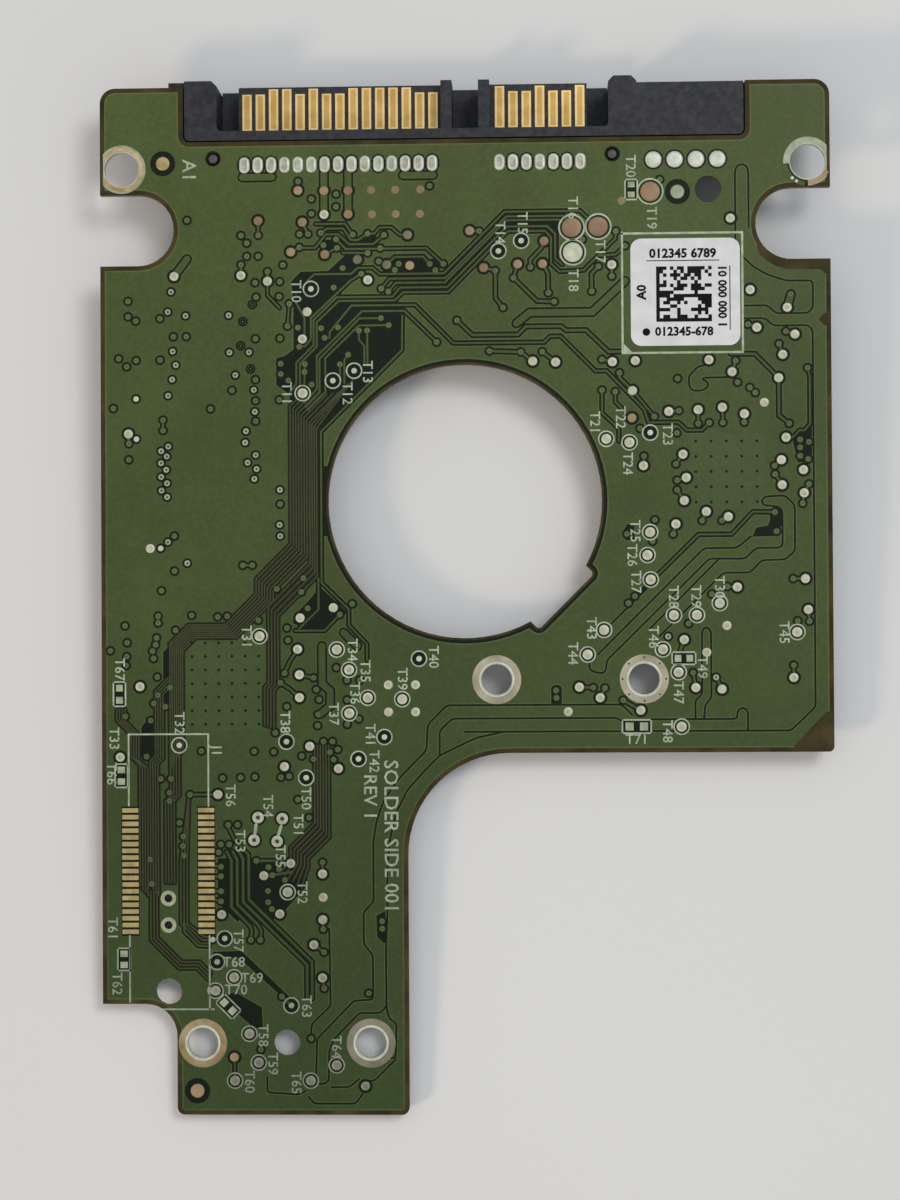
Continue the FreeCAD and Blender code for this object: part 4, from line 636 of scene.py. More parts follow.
class Finish:
    """A material with its shader, and short ways to add nodes that feed it."""

    def __init__(self, name, metal=0.0, sheen=PLAIN_SHEEN):
        self.material = bpy.data.materials.new(name)
        self.material.use_nodes = True
        self.tree = self.material.node_tree
        self.shader = self.tree.nodes["Principled BSDF"]
        self.shader.inputs["Metallic"].default_value = metal
        self.shader.inputs["Specular IOR Level"].default_value = sheen
        coordinates = self.node("ShaderNodeTexCoord")
        self.place = coordinates.outputs["Object"]
        self.normal = coordinates.outputs["Normal"]

    def link(self, source, target):
        self.tree.links.new(source, target)

    def node(self, kind, **settings):
        item = self.tree.nodes.new(kind)
        for name, value in settings.items():
            setattr(item, name, value)
        return item

    def noise(self, scale, detail=PLAIN_DETAIL, stretch=(1, 1, 1)):
        """Noise in object space."""
        mapping = self.node("ShaderNodeMapping")
        mapping.inputs["Scale"].default_value = stretch
        self.link(self.place, mapping.inputs["Vector"])
        texture = self.node("ShaderNodeTexNoise")
        texture.inputs["Scale"].default_value = scale
        texture.inputs["Detail"].default_value = detail
        self.link(mapping.outputs["Vector"], texture.inputs["Vector"])
        return texture.outputs["Fac"]

    def drift(self, source, dark, light, reach=DRIFT):
        """Tone that runs from dark to light as the source crosses a reach."""
        ramp = self.node("ShaderNodeValToRGB")
        for element, position, colour in zip(ramp.color_ramp.elements, reach, (dark, light)):
            element.position = position
            element.color = colour
        self.link(source, ramp.inputs["Fac"])
        return ramp.outputs["Color"]

    def mix(self, factor, first, second, blend="MIX"):
        """Two colours mixed, each input a value or another node's output."""
        mixer = self.node("ShaderNodeMix", data_type="RGBA", blend_type=blend)
        colours = [item for item in mixer.inputs if item.type == "RGBA"]
        for socket, value in zip([mixer.inputs["Factor"], *colours], (factor, first, second)):
            if isinstance(value, bpy.types.NodeSocket):
                self.link(value, socket)
            else:
                socket.default_value = value
        return next(item for item in mixer.outputs if item.type == "RGBA")

    def times(self, first, second):
        """Product of two colours."""
        return self.mix(1.0, first, second, "MULTIPLY")

    def part(self, source, axis):
        """One axis of a vector."""
        split = self.node("ShaderNodeSeparateXYZ")
        self.link(source, split.inputs["Vector"])
        return split.outputs[axis]

    def span(self, source, low, high, start=0.0, end=1.0):
        """Maps the range from start to end onto the range from low to high."""
        mapper = self.node("ShaderNodeMapRange")
        for name, value in (("From Min", start), ("From Max", end), ("To Min", low), ("To Max", high)):
            mapper.inputs[name].default_value = value
        self.link(source, mapper.inputs["Value"])
        return mapper.outputs["Result"]

    def along(self, start, end, low, high):
        """Value that runs from low to high between two places along the length of the board."""
        return self.span(self.part(self.place, "Y"), low, high, start, end)

    def colour(self, source):
        self.link(source, self.shader.inputs["Base Color"])

    def grain(self, scale, roughness, depth):
        """Fine noise in gloss and relief."""
        fine = self.noise(scale, FINE_DETAIL)
        self.link(self.span(fine, *roughness), self.shader.inputs["Roughness"])
        bump = self.node("ShaderNodeBump")
        bump.inputs["Distance"].default_value = depth
        bump.inputs["Strength"].default_value = 1.0
        self.link(fine, bump.inputs["Height"])
        self.link(bump.outputs["Normal"], self.shader.inputs["Normal"])


def mottled(name, dark, light, roughness=SMOOTH, metal=0.0, scale=DRIFT_SCALE, grain=GRAIN_SCALE,
            depth=GRAIN_DEPTH, sheen=PLAIN_SHEEN, fade=1.0):
    """A finish that drifts between two tones, with a fine grain, and can fade towards the tab."""
    finish = Finish(name, metal, sheen)
    tone = finish.drift(finish.noise(scale), linear(*dark), linear(*light))
    faded = finish.along(board_low.y, board_low.y + FADE_REACH, fade, 1.0)
    finish.colour(finish.times(tone, faded))
    finish.grain(grain, roughness, depth)
    return finish.material


def mask_finish(name, upper, lower, roughness=MASK_GLOSS, sheen=MASK_SHEEN):
    """Solder mask: its tone drifts from lighter at the plug edge to darker at the tab, a painted sheen, with
    a faint orange-peel relief.
    """
    finish = Finish(name, sheen=sheen)
    # Painted sheen: each mask tone is lighter towards the plug edge
    tone = finish.mix(finish.along(board_low.y, board_high.y, 0.0, 1.0), linear(*lower), linear(*upper))
    cloud = finish.drift(finish.noise(CLOUD_SCALE, CLOUD_DETAIL), *map(grey, CLOUD_TONES))
    speck = finish.drift(finish.noise(SPECK_SCALE, FINE_DETAIL), *map(grey, SPECK_TONES), SPECK_DRIFT)
    finish.colour(finish.times(finish.times(tone, cloud), speck))
    finish.grain(PEEL_SCALE, roughness, PEEL_DEPTH)
    return finish.material


def board_finish():
    """The board's own body: glass-epoxy layers on its sides and green mask underneath."""
    finish = Finish("board_laminate")
    weave = finish.noise(LAYER_SCALE, stretch=LAYER_STRETCH)
    layers = finish.drift(weave, linear(62, 48, 28), linear(104, 86, 52))
    green = finish.drift(finish.noise(GREEN_SCALE, CLOUD_DETAIL), linear(48, 66, 34), linear(62, 82, 44))
    flat = finish.node("ShaderNodeMath", operation="ABSOLUTE")
    finish.link(finish.part(finish.normal, "Z"), flat.inputs[0])
    finish.colour(finish.mix(flat.outputs["Value"], layers, green))
    finish.grain(PEEL_SCALE, WORN, PEEL_DEPTH)
    return finish.material


# Solder mask by what lies under it, vias and bare laminate
# Each mask finish below is lighter at the plug edge than at the tab: a painted sheen
mask_over_copper = mask_finish("mask_over_copper", (74, 86, 43), (50, 66, 29))
mask_over_laminate = mask_finish("mask_over_laminate", (26, 33, 25), (18, 25, 14), (0.34, 0.46), sheen=0.08)
# Lighter band along copper edges: thin mask over the edge, with a painted highlight
mask_thin_rim_and_highlight = mask_finish("mask_thin_rim_and_highlight", (88, 98, 54), (68, 83, 42))
mask_tint = mask_finish("mask_tint", (74, 88, 47), (53, 70, 33))
mask_over_hairs = mask_finish("mask_over_hairs", (68, 70, 42), (56, 61, 33))
mask_among_hairs = mask_finish("mask_among_hairs", (43, 45, 27), (20, 25, 10), sheen=0.1)
via_eye = mask_finish("via_eye", (112, 120, 84), (92, 106, 66))
# Painted shade: the dark inside of pinholes, open vias and small holes
painted_hole_shade = mottled("painted_hole_shade", (26, 34, 22), (42, 50, 36), WORN)
bare_laminate = mottled("bare_laminate", (42, 37, 19), (72, 62, 35), MATT, scale=420.0, sheen=0.12)

# Tin, solder, copper and gold
bright_solder = mottled("bright_solder", (180, 184, 164), (214, 216, 200), (0.34, 0.52),
                        metal=0.2, scale=1400.0)
joint_core = mottled("joint_core", (142, 142, 124), (184, 184, 164), SATIN, metal=0.2, scale=1400.0)
dot_core = mottled("dot_core", (150, 149, 127), (188, 187, 162), SATIN, metal=0.2, scale=1400.0, fade=0.35)
tinned_pad = mottled("tinned_pad", (170, 173, 147), (204, 205, 180), WORN,
                     metal=0.2, scale=1200.0, fade=0.35)
dull_tin = mottled("dull_tin", (132, 138, 112), (170, 174, 148), SATIN, metal=0.2, scale=1200.0)
ring_tin = mottled("ring_tin", (140, 134, 110), (180, 172, 147), (0.36, 0.55),
                   metal=0.3, scale=500.0, fade=0.45)
stained_tin = mottled("stained_tin", (158, 124, 68), (204, 186, 140), (0.35, 0.55),
                      metal=0.3, scale=640.0, fade=0.55)
lead_tin = mottled("lead_tin", (150, 152, 154), (192, 194, 196), (0.3, 0.5), metal=0.8, scale=900.0)
lid_metal = mottled("lid_metal", (168, 162, 146), (206, 200, 186), (0.22, 0.36), metal=0.9, scale=600.0)
bare_copper = mottled("bare_copper", (120, 88, 64), (156, 134, 98), WORN, metal=0.1)
dull_copper = mottled("dull_copper", (72, 66, 46), (116, 112, 84), SATIN, metal=0.1)
faint_copper = mottled("faint_copper", (118, 92, 62), (134, 126, 82), WORN, metal=0.1)
contact_gold = mottled("contact_gold", (222, 186, 118), (238, 208, 146), (0.28, 0.4), metal=0.6, scale=700.0)
darker_contact_gold = mottled("darker_contact_gold", (182, 140, 70), (208, 168, 96), (0.3, 0.42), metal=0.6, scale=700.0)
pad_gold = mottled("pad_gold", (148, 130, 82), (184, 166, 114), (0.34, 0.5), metal=0.4, scale=900.0)

# Plastic, paper, ink and the bodies of the parts
plug_plastic = mottled("plug_plastic", (16, 16, 20), (46, 46, 51), (0.45, 0.62), scale=1600.0,
                       grain=3400.0, depth=1.6e-5, sheen=0.35)
# Painted highlight: peg tips lighter than the plug's own plastic
peg_highlight_plastic = mottled("peg_highlight_plastic", (60, 57, 54), (84, 80, 76), (0.4, 0.55))
white_ink = mottled("white_ink", (138, 152, 126), (178, 190, 166), MATT, scale=1500.0, fade=0.5)
label_paper = mottled("label_paper", (202, 201, 200), (216, 215, 214), (0.55, 0.7), scale=700.0,
                      grain=6000.0, depth=6e-6)
label_ink = mottled("label_ink", (10, 10, 10), (24, 24, 24), MATT, sheen=0.1)
package_epoxy = mottled("package_epoxy", (30, 30, 33), (44, 44, 47), (0.55, 0.72), scale=900.0,
                        grain=11000.0, depth=1e-5)
capacitor_brown = mottled("capacitor_brown", (128, 100, 72), (164, 134, 100), DULL)
resistor_black = mottled("resistor_black", (22, 22, 26), (38, 38, 42), (0.3, 0.45))
tantalum_yellow = mottled("tantalum_yellow", (176, 134, 40), (204, 164, 66), DULL)
ferrite_grey = mottled("ferrite_grey", (52, 52, 55), (74, 74, 77), MATT, grain=9000.0, depth=1e-5)
sensor_cream = mottled("sensor_cream", (178, 172, 156), (206, 200, 186), DULL)
table_paper = mottled("table_paper", (211, 210, 208), (217, 216, 214), (0.7, 0.8), scale=6.0,
                      grain=900.0, depth=1e-5)

NODE_FINISHES = {
    "circuit_board": board_finish(),
    "connector_housing": plug_plastic,
    "power_contacts": contact_gold,
    "signal_contacts": contact_gold,
    "power_solder_joints": bright_solder,
    "signal_solder_joints": bright_solder,
    "screw_hole_rings": ring_tin,
    "top_screw_rings": dull_tin,
    "jumper_pads": bright_solder,
    "debug_pads": pad_gold,
    "paper_label": label_paper,
    "controller_chip": package_epoxy,
    "memory_chip": package_epoxy,
    "flash_chip": package_epoxy,
    "motor_driver_chip": package_epoxy,
    "transistors": package_epoxy,
    "surge_diodes": package_epoxy,
    "ceramic_capacitors": capacitor_brown,
    "chip_resistors": resistor_black,
    "tantalum_capacitors": tantalum_yellow,
    "power_inductors": ferrite_grey,
    "shock_sensors": sensor_cream,
    "crystal_base": sensor_cream,
    "crystal_lid": lid_metal,
    "head_contact_pads": pad_gold,
    "motor_contact_pads": pad_gold,
}


def dress_nodes():
    """Gives every node its finish, and the leads and terminals their tin."""
    for name, node in nodes.items():
        node.data.materials.clear()
        node.data.materials.append(NODE_FINISHES.get(name, lead_tin))


# Flat shapes, as loops of points on the board's face

# Turns of a round end's points, least square of a mitre, and most of a side that a rounded corner takes
CAP_TURNS = (math.pi / 4, math.pi / 2, 3 * math.pi / 4)
MITRE_LIMIT = 0.6
EASE_SHARE = 0.45

# Metres within which points of a node are one and a face lies on top, and how far up such a face points
NODE_WELD = 1e-6
LEVEL_REACH = 1e-5
UPWARD = 0.99


def turned_left(vector):
    """Vector after a quarter turn to the left."""
    return Vector((-vector.y, vector.x))


def facing(turn):
    """Direction of a turn in radians."""
    return Vector((math.cos(turn), math.sin(turn)))


def offset_point(before, point, after, distance):
    """Point moved to the left of a path by a distance in metres, mitred where the path turns."""
    first = turned_left((point - before).normalized())
    second = turned_left((after - point).normalized())
    middle = first + second
    return point + middle * (2 * distance / max(middle.length_squared, MITRE_LIMIT))


def cap(point, outward, half):
    """Round end of a strip."""
    side = turned_left(outward)
    return [point + (outward * math.sin(turn) - side * math.cos(turn)) * half for turn in CAP_TURNS]


def strip(points, width):
    """Outline of a path drawn with a round-ended pen."""
    half = width * MM / 2
    ahead = [2 * points[0] - points[1], *points, 2 * points[-1] - points[-2]]
    left = [offset_point(*ahead[i:i + 3], half) for i in range(len(points))]
    right = [offset_point(*ahead[i:i + 3], -half) for i in range(len(points))]
    end = cap(points[-1], (points[-1] - points[-2]).normalized(), half)
    start = cap(points[0], (points[0] - points[1]).normalized(), half)
    return right + end + left[::-1] + start


def eased(points, reach):
    """Path with its corners rounded off."""
    path = [points[0]]
    for before, point, after in zip(points, points[1:], points[2:]):
        sides = [before - point, after - point]
        first, second = [point + side * min(EASE_SHARE, reach * MM / side.length) for side in sides]
        path += [first, (first + 2 * point + second) / 4, second]
    return [*path, points[-1]]


def ring_of(centre, radius, count=12):
    """Circle round a point."""
    return [centre + facing(2 * math.pi * step / count) * (radius * MM) for step in range(count)]


def box_of(centre, length, width, turn=0.0):
    """Corners of a rectangle turned by degrees."""
    along = facing(math.radians(turn)) * (length * MM / 2)
    across = turned_left(along).normalized() * (width * MM / 2)
    return [centre + along * a + across * b for a, b in ((-1, -1), (1, -1), (1, 1), (-1, 1))]


def box_lines(corners):
    """Printed lines along the sides of a box."""
    return [strip([a, b], INK_BOX_LINE) for a, b in zip(corners, corners[1:] + corners[:1])]


def sector(place, inner, outer, first, last, count=18):
    """Piece of a ring between two turns given in degrees."""
    turns = [math.radians(first + (last - first) * step / count) for step in range(count + 1)]
    rims = [[spot(*place) + facing(turn) * (radius * MM) for turn in turns] for radius in (outer, inner)]
    return rims[0] + rims[1][::-1]


def grown(loop, distance):
    """Closed loop moved outwards, or inwards where the distance is negative."""
    around = [loop[-1], *loop, loop[0]]
    return [offset_point(*around[i:i + 3], -distance * MM) for i in range(len(loop))]


def area(loop):
    """Area within a loop, negative where its inside is on the right."""
    return sum(a.x * b.y - a.y * b.x for a, b in zip(loop, loop[1:] + loop[:1])) / 2


def leftward(loop):
    """Loop that runs with its inside on the left."""
    return loop if area(loop) > 0 else loop[::-1]


def board_loops():
    """The board's outline and its holes, read off the top face of its solid."""
    shape = bmesh.new()
    shape.from_mesh(nodes["circuit_board"].data)
    bmesh.ops.remove_doubles(shape, verts=shape.verts, dist=NODE_WELD)
    top = {face for face in shape.faces
           if face.normal.z > UPWARD and face.calc_center_median().z > FACE - LEVEL_REACH}
    following = {}
    for face in top:
        for loop in face.loops:
            if not any(other in top for other in loop.edge.link_faces if other is not face):
                following[loop.vert] = loop.link_loop_next.vert
    loops = []
    while following:
        vert, after = following.popitem()
        chain = [vert.co.xy.copy()]
        while after in following:
            chain.append(after.co.xy.copy())
            after = following.pop(after)
        loops.append(chain)
    shape.free()
    loops.sort(key=lambda chain: -abs(area(chain)))
    return loops[0], [chain[::-1] for chain in loops[1:]]


def joint_places(row):
    """Places of a row of solder joints."""
    first, count, _ = row
    return [(first + JOINT_PITCH * step, JOINT_DROP) for step in range(count)]


def bundle_tracks():
    """Places of each track in the bundles."""
    for count, corners in BUNDLES:
        for step in range(count):
            yield [(x + dx * step, d + dd * step) for (x, d), (dx, dd) in corners]


# Pieces

# Metres within which points of a turned piece or a letter are merged
WELD = 1e-7


def only(piece):
    """Selects one piece alone."""
    bpy.ops.object.select_all(action="DESELECT")
    piece.select_set(True)
    bpy.context.view_layer.objects.active = piece


def settle(piece, slot, *materials):
    """Gives a finished piece its materials and its body; its slot is not used."""
    for material in materials:
        piece.data.materials.append(material)
    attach(piece, BODY)
    return piece


def new_piece(name, mesh):
    """Puts a mesh into the scene."""
    piece = bpy.data.objects.new(name, mesh)
    bpy.context.scene.collection.objects.link(piece)
    return piece


def from_shape(name, shape):
    """Piece of a finished edit mesh, which is then freed."""
    mesh = bpy.data.meshes.new(name)
    shape.to_mesh(mesh)
    shape.free()
    return new_piece(name, mesh)


def close_up(weld):
    """Ends an edit: merges doubles where they may be, and turns all faces outwards."""
    bpy.ops.mesh.select_all(action="SELECT")
    if weld:
        bpy.ops.mesh.remove_doubles(threshold=WELD)
    bpy.ops.mesh.normals_make_consistent(inside=False)
    bpy.ops.object.mode_set(mode="OBJECT")


def turned(profile, sides, bands=()):
    """Master spun from a profile of (radius, height); within each band radius the next finish begins."""
    mesh = bpy.data.meshes.new("master")
    steps = [(index, index + 1) for index in range(len(profile) - 1)]
    mesh.from_pydata([(radius * MM, 0, height * MM) for radius, height in profile], steps, [])
    master = new_piece("master", mesh)
    only(master)
    bpy.ops.object.mode_set(mode="EDIT")
    bpy.ops.mesh.select_all(action="SELECT")
    bpy.ops.mesh.spin(steps=sides, angle=2 * math.pi, center=(0, 0, 0), axis=(0, 0, 1))
    close_up(weld=True)
    for polygon in master.data.polygons:
        polygon.use_smooth = True
        polygon.material_index = sum(polygon.center.xy.length < radius * MM for radius in bands)
    return master


def stamped(name, master, places, under=False):
    """One piece made of copies of a master, each at its place on the face or underside; the master goes."""
    level = board_low.z if under else FACE
    flip = Matrix.Rotation(math.pi if under else 0, 4, "X")
    shape = bmesh.new()
    for place in places:
        before = len(shape.verts)
        shape.from_mesh(master.data)
        shape.verts.ensure_lookup_table()
        matrix = Matrix.Translation((*spot(*place), level)) @ flip
        bmesh.ops.transform(shape, matrix=matrix, verts=shape.verts[before:])
    bpy.data.objects.remove(master)
    return from_shape(name, shape)


def slabs(name, loops, low, high):
    """One piece made of flat loops, each raised into a thin closed slab."""
    points = []
    faces = []
    for loop in loops:
        faces.append(range(len(points), len(points) + len(loop)))
        points.extend((*point, FACE + low * MM) for point in loop)
    mesh = bpy.data.meshes.new(name)
    mesh.from_pydata(points, [], faces)
    piece = new_piece(name, mesh)
    only(piece)
    bpy.ops.object.mode_set(mode="EDIT")
    bpy.ops.mesh.select_all(action="SELECT")
    bpy.ops.mesh.extrude_region_move(TRANSFORM_OT_translate={"value": (0, 0, (high - low) * MM)})
    close_up(weld=False)
    return piece


# Solder mask, from loops that each name the kind of surface they enclose

def board_regions():
    """The board's outline, its holes and the bare rims along them."""
    outline, holes = board_loops()
    yield "board", outline
    yield "pour", grown(outline, -EDGE_MARGIN)
    yield "inside", grown(outline, -(EDGE_MARGIN + RIM))
    for hole in holes:
        if abs(area(hole)) > LEAST_HOLE:
            yield "hole", hole
        if abs(area(hole)) > LEAST_OPENING:
            yield "margin", grown(hole, BARE_RIM)
            yield "gap", grown(hole, HOLE_MARGIN)
            yield "edge", grown(hole, HOLE_MARGIN + RIM)


def ground_regions():
    """Bare patches, voids and cuts in the copper pour."""
    for corners in BARE_PATCHES:
        yield "margin", path_of(corners)
    for corners in VOIDS:
        loop = leftward(path_of(corners))
        yield "gap", loop
        yield "edge", grown(loop, LIP)
    for places in CUTS:
        path = eased(path_of(places), CUT_BEND)
        yield "gap", strip(path, CUT)
        yield "edge", strip(path, CUT + 2 * LIP)


def track_regions():
    """Single tracks and bundles of fine ones, each in its gap."""
    for width, routes in TRACKS.items():
        for places in routes:
            path = path_of(places)
            yield "copper", strip(path, width)
            yield "gap", strip(path, width + 2 * CLEARANCE)
            yield "edge", strip(path, width + 2 * CLEARANCE + 2 * LIP)
    for places in bundle_tracks():
        path = path_of(places)
        yield "hair", strip(path, HAIR)
        yield "among", strip(path, HAIR + 2 * CLEARANCE)


def pads_in_gaps(places, radius, clearance):
    """Round pads, each with a gap round it."""
    for point in path_of(places):
        yield "copper", ring_of(point, radius)
        yield "gap", ring_of(point, radius + clearance)


def round_gaps(places, radius, sides):
    """Gaps round pads that are pieces of their own."""
    for point in path_of(places):
        yield "gap", ring_of(point, radius, sides)


def joint_gaps():
    """Gaps round the solder joints that stand apart from the pour."""
    width, length = JOINT_SIZE
    half = (length - width) / 2
    for row in (POWER_JOINTS, SIGNAL_JOINTS):
        _, _, apart = row
        for step in apart:
            x, d = joint_places(row)[step]
            yield "gap", strip([spot(x, d - half), spot(x, d + half)], width + 2 * CLEARANCE)


def pad_regions():
    """Vias, dots and pads with their gaps, and the grounds of via grids and footprints."""
    yield from pads_in_gaps(VIAS + BRIGHT_VIAS + OPEN_VIAS + SMALL_DOTS, VIA_RADIUS, CLEARANCE)
    yield from pads_in_gaps(TIN_DOTS + COPPER_DOTS + DULL_DOTS, DOT_RADIUS, DOT_CLEARANCE)
    yield from round_gaps(RINGED_DOTS + RINGED_POINTS, RINGED_GAP, 12)
    yield from round_gaps(SIGHT_DOTS, SIGHT_GAP, 20)
    yield from round_gaps(LARGE_COPPER_PADS + LARGE_TIN_PADS, LARGE_GAP, 20)
    yield from round_gaps(PROBE_HOLES + PEGS, HOLE_GAP, 16)
    yield from joint_gaps()
    yield from pads_in_gaps(JUMPER_PADS, JUMPER_RADIUS, CLEARANCE)
    top, bottom = DEBUG_SPAN
    for x in DEBUG_COLUMNS:
        yield "gap", box_of(spot(x, (top + bottom) / 2), DEBUG_GAP, bottom - top)
    for x, d, dx, dd, columns, rows in VIA_GRIDS:
        middle = spot(x + dx * (columns - 1) / 2, d + dd * (rows - 1) / 2)
        yield "tint", box_of(middle, dx * columns, dd * rows)
    for x, d, length, width, turn in FOOTPRINTS:
        yield "gap", box_of(spot(x, d), length - FOOTPRINT_INSET, width - FOOTPRINT_INSET, turn)


def surface_kind(kinds):
    """Which surface a small triangle of the artwork belongs to."""
    if "board" not in kinds or "hole" in kinds:
        return None
    if "margin" in kinds or "pour" not in kinds:
        return "bare"
    for kind in ("copper", "hair", "gap", "among"):
        if kind in kinds:
            return kind
    # Bands along edges take the lighter rim: thin mask over the copper's edge, with a painted highlight
    if "edge" in kinds or "inside" not in kinds:
        return "rim"
    return "tint" if "tint" in kinds else "copper"


# Finish and height of each kind of surface
MASK_SURFACES = {
    "copper": (mask_over_copper, COPPER_LEVEL),
    # Rim: thin mask over copper edges, with a painted highlight
    "rim": (mask_thin_rim_and_highlight, COPPER_LEVEL),
    "tint": (mask_tint, COPPER_LEVEL),
    "hair": (mask_over_hairs, COPPER_LEVEL),
    "gap": (mask_over_laminate, GAP_LEVEL),
    "among": (mask_among_hairs, GAP_LEVEL),
    "bare": (bare_laminate, BARE_LEVEL),
}

# Millimetres within which two points of the artwork are one
SAME_POINT = 1e-4


def mask_triangles():
    """Places in millimetres, triangles between them, and the kind of each triangle."""
    regions = [*board_regions(), *ground_regions(), *track_regions(), *pad_regions()]
    points = []
    faces = []
    for _, loop in regions:
        faces.append(range(len(points), len(points) + len(loop)))
        points.extend(point / MM for point in leftward(loop))
    places, _, triangles, _, _, sources = delaunay_2d_cdt(points, [], faces, 0, SAME_POINT)
    kinds = [surface_kind({regions[index][0] for index in source}) for source in sources]
    return places, triangles, kinds


def sides_of(triangle):
    """Pairs of neighbouring corners."""
    return zip(triangle, triangle[1:] + triangle[:1])


def make_solder_mask():
    """One closed relief sheet: raised over copper, sunk in the gaps and lowest along the edges."""
    places, triangles, kinds = mask_triangles()
    indices = {kind: index for index, kind in enumerate(MASK_SURFACES)}
    levels = {kind: level for kind, (_, level) in MASK_SURFACES.items()}
    levels[None] = 0.0
    beside = {}
    stacks = {}
    for triangle, kind in zip(triangles, kinds):
        for a, b in sides_of(triangle):
            beside[a, b] = levels[kind]
            stacks.setdefault(a, {0.0}).add(levels[kind])
    shape = bmesh.new()
    made = {}

    def vert(index, level):
        if (index, level) not in made:
            x, y = places[index]
            made[index, level] = shape.verts.new((x * MM, y * MM, FACE + level * MM))
        return made[index, level]

    def edge_down(index, top, bottom):
        steps = sorted(stacks[index], reverse=True)
        return [vert(index, level) for level in steps if bottom <= level <= top]

    def face(verts, kind):
        shape.faces.new(verts).material_index = indices[kind]

    for triangle, kind in zip(triangles, kinds):
        if kind is None:
            continue
        top = levels[kind]
        face([vert(index, top) for index in triangle], kind)
        face([vert(index, 0.0) for index in triangle[::-1]], "gap")
        for a, b in sides_of(triangle):
            bottom = beside.get((b, a), 0.0)
            if bottom < top:
                face(edge_down(a, top, bottom) + edge_down(b, top, bottom)[::-1], kind)
    finishes = [finish for finish, _ in MASK_SURFACES.values()]
    settle(from_shape("solder_mask", shape), "solder_mask", *finishes)


# Turned pieces: shares of a dome's radius and height, and the eased edge of a washer

DOME_FLANK = ((1.0, 0.0), (1.0, 0.35), (0.86, 0.8), (0.55, 1.0))
DIMPLE_SHARE = 0.25
WASHER_EASE = 0.03
WASHER_SHOULDER = 0.8


def dome(radius, height, dimple=0.0):
    """Profile of a low solder dome, with a shallow dimple in the middle where it is asked for."""
    flank = [(radius * out, height * up) for out, up in DOME_FLANK]
    return [(0, 0), *flank, (radius * DIMPLE_SHARE, height - dimple / 2), (0, height - dimple)]


def washer(outer, inner, height):
    """Profile of a flat ring with eased edges."""
    shoulder = height * WASHER_SHOULDER
    return [(inner, 0), (outer, 0), (outer, shoulder), (outer - WASHER_EASE, height),
            (inner + WASHER_EASE, height), (inner, shoulder), (inner, 0)]


def via_profile(rise):
    """Profile of a via whose rim stands over the copper by a rise."""
    top = COPPER_LEVEL + rise
    rim = [(VIA_RADIUS, 0), (VIA_RADIUS, COPPER_LEVEL - VIA_SHOULDER), (VIA_RADIUS - VIA_SLOPE, top)]
    eye = [(EYE_RADIUS, top), (PINHOLE_RADIUS, COPPER_LEVEL), (0, COPPER_LEVEL - VIA_SINK)]
    return [(0, 0), *rim, *eye]


def make_via(name, places, rim, eye, slot, rise, under=False):
    """Vias with a rim, an eye within it and a pinhole painted dark as the shade in its hole."""
    master = turned(via_profile(rise), 12, VIA_BANDS)
    settle(stamped(name, master, places, under), slot, rim, eye, painted_hole_shade)


def make_dots(name, places, profile, finish, slot, sides=16, under=False, core=None):
    """Turned dots of one finish, or of two where a core is asked for."""
    master = turned(profile, sides, (CORE_RADIUS,) if core else ())
    return settle(stamped(name, master, places, under), slot, *filter(None, (finish, core)))


def make_vias():
    """Single vias, and the grids under the chips that run warm."""
    make_via("tented_vias", VIAS, mask_over_copper, via_eye, "solder_mask", TENT_RISE)
    make_via("tinned_vias", BRIGHT_VIAS, dull_tin, dull_tin, "tinned_copper", TINNED_RISE)
    # Open vias are painted shade all over
    make_via("open_vias", OPEN_VIAS, painted_hole_shade, painted_hole_shade, "solder_mask", 0.0)
    grid = [(x + dx * column, d + dd * row) for x, d, dx, dd, columns, rows in VIA_GRIDS
            for column in range(columns) for row in range(rows)]
    heat_via = dome(HEAT_VIA_RADIUS, HEAT_VIA_LEVEL)
    make_dots("heat_vias", grid, heat_via, mask_over_laminate, "solder_mask", sides=8)


def make_test_dots():
    """Test dots of tin and of bare copper."""
    dot = dome(DOT_RADIUS, DOT_LEVEL)
    tin_dot = dome(DOT_RADIUS, SWOLLEN_LEVEL, DOT_DIMPLE)
    ringed_dot = dome(RINGED_RADIUS, SWOLLEN_LEVEL, DOT_DIMPLE)
    small_dot = dome(SMALL_RADIUS, DOT_LEVEL, PAD_DIMPLE)
    faint_dot = dome(DOT_RADIUS, FAINT_LEVEL)
    make_dots("tinned_dots", TIN_DOTS + POUR_DOTS, tin_dot, tinned_pad, "tinned_copper", core=dot_core)
    make_dots("ringed_dots", RINGED_DOTS, ringed_dot, tinned_pad, "tinned_copper", core=dot_core)
    small_places = SMALL_DOTS + RINGED_POINTS
    make_dots("small_tinned_dots", small_places, small_dot, tinned_pad, "tinned_copper", sides=12)
    make_dots("copper_dots", COPPER_DOTS, dot, bare_copper, "tinned_copper")
    make_dots("dull_dots", DULL_DOTS, dot, dull_copper, "tinned_copper")
    make_dots("faint_copper_dots", FAINT_DOTS, faint_dot, faint_copper, "tinned_copper")


